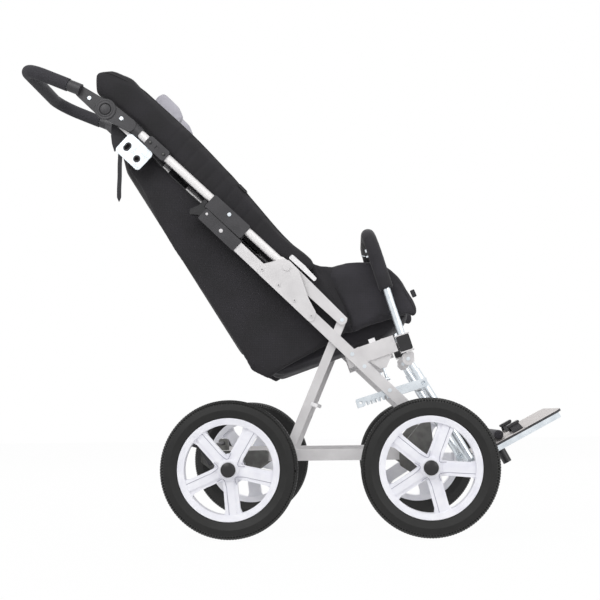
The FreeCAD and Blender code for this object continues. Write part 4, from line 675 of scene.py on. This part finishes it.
webbing, tree, shader, coords = new_material("black_webbing")
ribs = add_node(tree, "ShaderNodeTexWave", {"Vector": coords, "Scale": 100.0}, bands_direction="Z")
tint(tree, shader, ribs.outputs["Fac"], (0.0, "1f1f21"), (1.0, "343337"))
shader.inputs["Roughness"].default_value = 0.8
low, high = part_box("hanging_straps")
plate_depth = 0.0062
behind_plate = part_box("tie_plates")[0].y + plate_depth
strap_middle = (low.x + high.x) / 2
strap_half = (high.x - low.x) / 2
strap_rows = 26
sway, sway_step, strap_lean = 0.0012, 0.55, 0.003
tip_share, tip_growth = 0.15, 0.42
webbing_thickness = 0.0014
straps = bmesh.new()
rows = []
for step in range(strap_rows + 1):
    drop = high.z - (high.z - low.z) * step / strap_rows
    bend = sway * math.sin(step * sway_step)
    half = strap_half * min(1.0, tip_share + tip_growth * (strap_rows - step))
    lean = strap_lean * (1.0 - step / strap_rows)
    spots = [(strap_middle + lean + half * part, behind_plate + bend, drop) for part in (-1.0, 0.0, 1.0)]
    rows.append([straps.verts.new(spot) for spot in spots])
for first, second in zip(rows, rows[1:]):
    for place in range(2):
        straps.faces.new((first[place], second[place], second[place + 1], first[place + 1]))
strap_area = sum(face.calc_area() for face in straps.faces)
strap = from_shell("hanging_webbing", straps)
thicken(strap, webbing_thickness)
wear(strap, webbing, "back_frame", "black_cloth", "hanging_straps")

# Strap root: the wider black webbing that the hanging strap is sewn to.
# It is drawn tight from the hinge down behind the tie plate.
root_y = -0.1565
root_outline = ((-0.400, 0.964), (-0.4035, 0.943), (-0.4045, 0.9226), (-0.4020, 0.904), (-0.3965, 0.886),
                (-0.3850, 0.889), (-0.3683, 0.9217), (-0.3887, 0.9428))
root_mesh = bpy.data.meshes.new("strap_root")
root_mesh.from_pydata([(x, root_y, z) for x, z in root_outline], [], [tuple(range(len(root_outline)))])
strap_root = bpy.data.objects.new("strap_root", root_mesh)
scene.collection.objects.link(strap_root)
thicken(strap_root, webbing_thickness)
wear(strap_root, webbing, "back_frame", "black_cloth")

# Foot straps: two black webbing bands that arch over the footplate, one for each foot.
# Each carries a moulded nylon buckle on top.
def block(name, centre, size, turn, material, body, slot, bevel=0.001):
    """A small moulded block with soft edges, turned in the side view."""
    shell = bmesh.new()
    bmesh.ops.create_cube(shell, size=1.0, matrix=Matrix.Diagonal((size[0], size[1], size[2], 1.0)))
    bmesh.ops.bevel(shell, geom=shell.edges[:], offset=bevel, segments=2, affect="EDGES")
    turned = Matrix.Translation(centre) @ Matrix.Rotation(-math.radians(turn), 4, "Y")
    bmesh.ops.transform(shell, matrix=turned, verts=shell.verts)
    wear(from_shell(name, shell), material, body, slot)


plate_ahead = Vector((math.cos(math.radians(plate_pitch)), 0.0, math.sin(math.radians(plate_pitch))))
stem_end = Vector((0.4207, 0.0, 0.1527))
band_lines = (0.119, 0.131, 0.143)
band_place, band_half, band_foot, band_rise, buckle_rise = 0.066, 0.037, 0.0115, 0.0130, 0.0275
sides = (("right", -1), ("left", 1))
bands = bmesh.new()
for side in (-1, 1):
    rows = []
    for step in range(21):
        t = step / 10.0 - 1.0
        rise = band_foot + band_rise * (1.0 - t * t)
        across = Vector((0.0, side * band_place + band_half * t, 0.0))
        spots = [stem_end + plate_ahead * along + plate_up * rise + across for along in band_lines]
        rows.append([bands.verts.new(spot) for spot in spots])
    for first, second in zip(rows, rows[1:]):
        for place in range(2):
            bands.faces.new((first[place], first[place + 1], second[place + 1], second[place]))
band_area = sum(face.calc_area() for face in bands.faces)
foot_bands = from_shell("foot_bands", bands)
thicken(foot_bands, 0.0016)
wear(foot_bands, webbing, "foot", "black_cloth", "foot_straps")
for side, sign in sides:
    across = Vector((0.0, sign * band_place, 0.0))
    centre = stem_end + plate_ahead * band_lines[1] + plate_up * buckle_rise + across
    block("foot_buckle_" + side, centre, (0.030, 0.024, 0.006), plate_pitch, nylon, "foot", "dark_plastic")

# Grommets of the tie plates: dark moulded edgings.
# They are pressed round the slot and the eyelet of each plate.
def on_ring(centre, radius, turn):
    """A spot on a circle in the side view, with 24 steps to a turn."""
    angle = turn * math.pi / 12
    return centre + back_up * radius * math.cos(angle) + back_front * radius * math.sin(angle)


eyelet = Vector((-0.3403, 0.0, 0.8638))
slot_middle = Vector((-0.3623, 0.0, 0.8930))
eyelet_radius, slot_radius, slot_half, plate_face = 0.0068, 0.0062, 0.0032, 0.1735
for side, sign in sides:
    across = Vector((0.0, sign * plate_face, 0.0))
    rings = [[], []]
    for turn in range(25):
        end = back_front * (slot_half if turn % 24 < 12 else -slot_half)
        rings[0].append(on_ring(eyelet, eyelet_radius, turn) + across)
        rings[1].append(on_ring(slot_middle + end, slot_radius, turn) + across)
    follow("grommets_" + side, rings, "back_frame", "dark_plastic", cord, Radius=0.0018, Material=nylon)

# Zip pulls of the guard pad: a slider, a stamped tab and a stop of zinc plated steel.
# They sit where the zip ends, on the rear of each post.
post_y, zip_width = 0.152, 0.0035
zip_pieces = (("slider", 0.1915, 0.6265, 0.0060, 0.0040, 20.0),
              ("tab", 0.1815, 0.6280, 0.0110, 0.0016, -12.0),
              ("stop", 0.1885, 0.6395, 0.0040, 0.0070, 17.0))
for label, x, z, length, height, turn in zip_pieces:
    for side, sign in sides:
        block("zip_%s_%s" % (label, side), (x, sign * post_y, z), (length, zip_width, height), turn, zinc,
              "guard", "zinc", bevel=0.0005)

# Wing loops: folded ends of black webbing.
# Each is sewn into the front seam of its wing.
for side, sign in sides:
    block("wing_loop_" + side, (0.2965, sign * 0.122, 0.5425), (0.010, 0.012, 0.017), 22.0, webbing,
          "chassis", "black_cloth")

# Plate flange: the turned edge of each tie plate.
# It lies under the back tube, along the tube's slope.
for side, sign in sides:
    block("plate_flange_" + side, (-0.3708, sign * 0.1690, 0.9336), (0.036, 0.004, 0.0085), -recline, alloy,
          "back_frame", "zinc")

# Rim buckle: a flat slider of polished black plastic.
# It lies on the near roll, close to its corded edge.
buckle_spot = onto(bolsters, ((-0.0865, 0.799),), -1)[0]
block("rim_buckle", buckle_spot, (0.024, 0.020, 0.006), -47.0, polished, "back_frame", "dark_plastic")

# Hinge bezels: a raised nylon ring with a turned groove, moulded round each hinge button.
# The buttons and the hub caps get a shallow turned dome, so each shows one small highlight.
def lathe(name, centre, profile, side, material, body, slot):
    """A turned piece about a cross axis, from (radius, height) pairs, height outward from the centre."""
    steps = 64
    shell = bmesh.new()
    rings = []
    for turn in range(steps):
        angle = turn * 2 * math.pi / steps
        rings.append([shell.verts.new((centre[0] + radius * math.cos(angle), centre[1] + side * height,
                                       centre[2] + radius * math.sin(angle))) for radius, height in profile])
    for before, ring in zip(rings[-1:] + rings[:-1], rings):
        for place in range(len(profile)):
            after = (place + 1) % len(profile)
            shell.faces.new((before[place], ring[place], ring[after], before[after]))
    bmesh.ops.remove_doubles(shell, verts=shell.verts, dist=0.000005)
    bmesh.ops.recalc_face_normals(shell, faces=shell.faces)
    made = from_shell(name, shell)
    for face in made.data.polygons:
        face.use_smooth = True
    wear(made, material, body, slot)


def dome(name, node, height, material, body):
    """A shallow turned dome on the outer face of a round CAD piece."""
    inset, sunk = 0.0006, -0.0004
    low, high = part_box(node)
    side = -1 if low.y < 0 else 1
    reach = (high.x - low.x) / 2 - inset
    shares = (0.0, 0.25, 0.45, 0.65, 0.8, 0.92, 1.0)
    profile = [(reach * share, height * (1.0 - share * share)) for share in shares]
    centre = ((low.x + high.x) / 2, low.y if side < 0 else high.y, (low.z + high.z) / 2)
    lathe(name, centre, profile + [(reach, sunk), (0.0, sunk)], side, material, body, "dark_plastic")


bezel_profile = ((0.0132, 0.0), (0.0132, 0.0020), (0.0146, 0.0028), (0.0180, 0.0028), (0.0192, 0.0014),
                 (0.0206, 0.0024), (0.0238, 0.0024), (0.0250, 0.0012), (0.0250, 0.0))
for side, sign in sides:
    lathe("hinge_bezel_" + side, (-0.4116, sign * 0.1857, 0.9797), bezel_profile, sign, nylon, "back_frame",
          "dark_plastic")
    dome("button_dome_" + side, "hinge_button_" + side, 0.0022, nylon, "button_" + side)
    for end in ends:
        dome("cap_dome_%s_%s" % (end, side), "%s_%s_hub_cap" % (end, side), 0.0030, polished,
             "wheel_%s_%s" % (end, side))

# Rivet sockets: the drive holes in the heads of the plate rivets and of the connector screws.
# They are drawn as thin discs on the heads, dark on the rivets as painted shade in their holes, and grey on
# the screws.
discs = bpy.data.node_groups.new("discs_at_points", "GeometryNodeTree")
entry = sockets(discs, (("Radius", "NodeSocketFloat"), ("Material", "NodeSocketMaterial")))
disc = add_node(discs, "GeometryNodeMeshCylinder", {"Vertices": 12, "Radius": entry.outputs["Radius"],
                                                    "Depth": 0.0006})
placed = add_node(discs, "GeometryNodeInstanceOnPoints", {"Points": entry.outputs["Geometry"],
                                                          "Instance": disc.outputs["Mesh"],
                                                          "Rotation": (math.pi / 2, 0.0, 0.0)})
whole = add_node(discs, "GeometryNodeRealizeInstances", {"Geometry": placed.outputs[0]})
coat = add_node(discs, "GeometryNodeSetMaterial", {"Geometry": whole.outputs[0],
                                                   "Material": entry.outputs["Material"]})
add_node(discs, "NodeGroupOutput", {"Geometry": coat.outputs[0]})
plate_rivets = ((-0.0497, 0.5971), (-0.0125, 0.5607), (0.0240, 0.5251), (0.0612, 0.4888))
for name, body, places, depth, radius, finish in (
        ("rivet_holes_painted_shade", "chassis", plate_rivets, 0.1874, 0.0013, polished),
        ("screw_sockets", "back_frame", connector_screws, 0.1881, 0.0018, cast)):
    points = [[(x, side * depth, z)] for x, z in places for side in (-1, 1)]
    follow(name, points, body, "dark_plastic", discs, Radius=radius, Material=finish)

# Spoke lines: the shallow steps moulded along each spoke and round the hub of the rims.
# They are drawn as fine lines in the grey of their own shade.
groove, tree, shader, coords = new_material("shaded_rim_groove")
shader.inputs["Base Color"].default_value = srgb("a6a6b2")
shader.inputs["Roughness"].default_value = 0.6
spoke_phase = {"rear": 59.6, "front": 68.5}
spoke_turn = math.radians(72)
line_offset, hub_reach, next_reach, next_offset = 0.0085, 0.0225, 0.033, 0.0135
line_reaches = (0.096, 0.080, 0.065, 0.050, 0.036)
for end, axle_x in ends.items():
    for side, sign in sides:
        grooves = []
        for number in range(5):
            angle = math.radians(spoke_phase[end] + 72 * number)
            after = angle - spoke_turn
            middle = angle - spoke_turn / 2
            cosine, sine = math.cos(angle), math.sin(angle)
            spots = [(axle_x + cosine * reach + sine * line_offset,
                      axle_z + sine * reach - cosine * line_offset) for reach in line_reaches]
            spots.append((axle_x + hub_reach * math.cos(middle), axle_z + hub_reach * math.sin(middle)))
            spots.append((axle_x + next_reach * math.cos(after) - next_offset * math.sin(after),
                          axle_z + next_reach * math.sin(after) + next_offset * math.cos(after)))
            grooves.append(smooth_line(onto(nodes["%s_%s_rim" % (end, side)], spots, sign)))
        follow("spoke_lines_%s_%s" % (end, side), grooves, "wheel_%s_%s" % (end, side), "rim_plastic", cord,
               Radius=0.0007, Material=groove)

# Leg clip: a white nylon clip, the same moulding plastic as the cloth guides.
# One is snapped on halfway up each rear leg.
for side, sign in sides:
    block("leg_clip_" + side, (0.0640, sign * 0.152, 0.2880), (0.016, 0.024, 0.009), -24.0, guide, "chassis",
          "rim_plastic")

# Brake pedal pad: a cap of red rubber.
# It is glued on the tread of the pedal.
red, tree, shader, coords = new_material("red_rubber_cap")
shader.inputs["Base Color"].default_value = srgb("a4232a")
shader.inputs["Roughness"].default_value = 0.6
block("pedal_cap", (-0.2362, -0.203, 0.2175), (0.0115, 0.030, 0.0022), 0.0, red, "brake", "dark_plastic",
      bevel=0.0008)

# Tyre tread: four rows of low rubber lugs, moulded in one with each tyre.
# The rows lie across the crown, the outer two lower than the inner two.
tread_rows = ((-0.0145, 0.1449), (-0.0050, 0.1490), (0.0050, 0.1490), (0.0145, 0.1449))
for end, axle_x in ends.items():
    for side, axle_y in wheel_sides:
        label = "%s_%s" % (end, side)
        rounds = []
        for offset, radius in tread_rows:
            angles = [turn * math.pi / 60 + offset * 2 for turn in range(121)]
            rounds.append([(axle_x + radius * math.cos(angle), axle_y + offset,
                            axle_z + radius * math.sin(angle)) for angle in angles])
        follow("tread_" + label, rounds, "wheel_" + label, "tyre_rubber", row, Spacing=0.0062,
               Size=(0.0016, 0.0078, 0.0042), Material=bpy.data.materials["black_tyre_rubber_" + label])
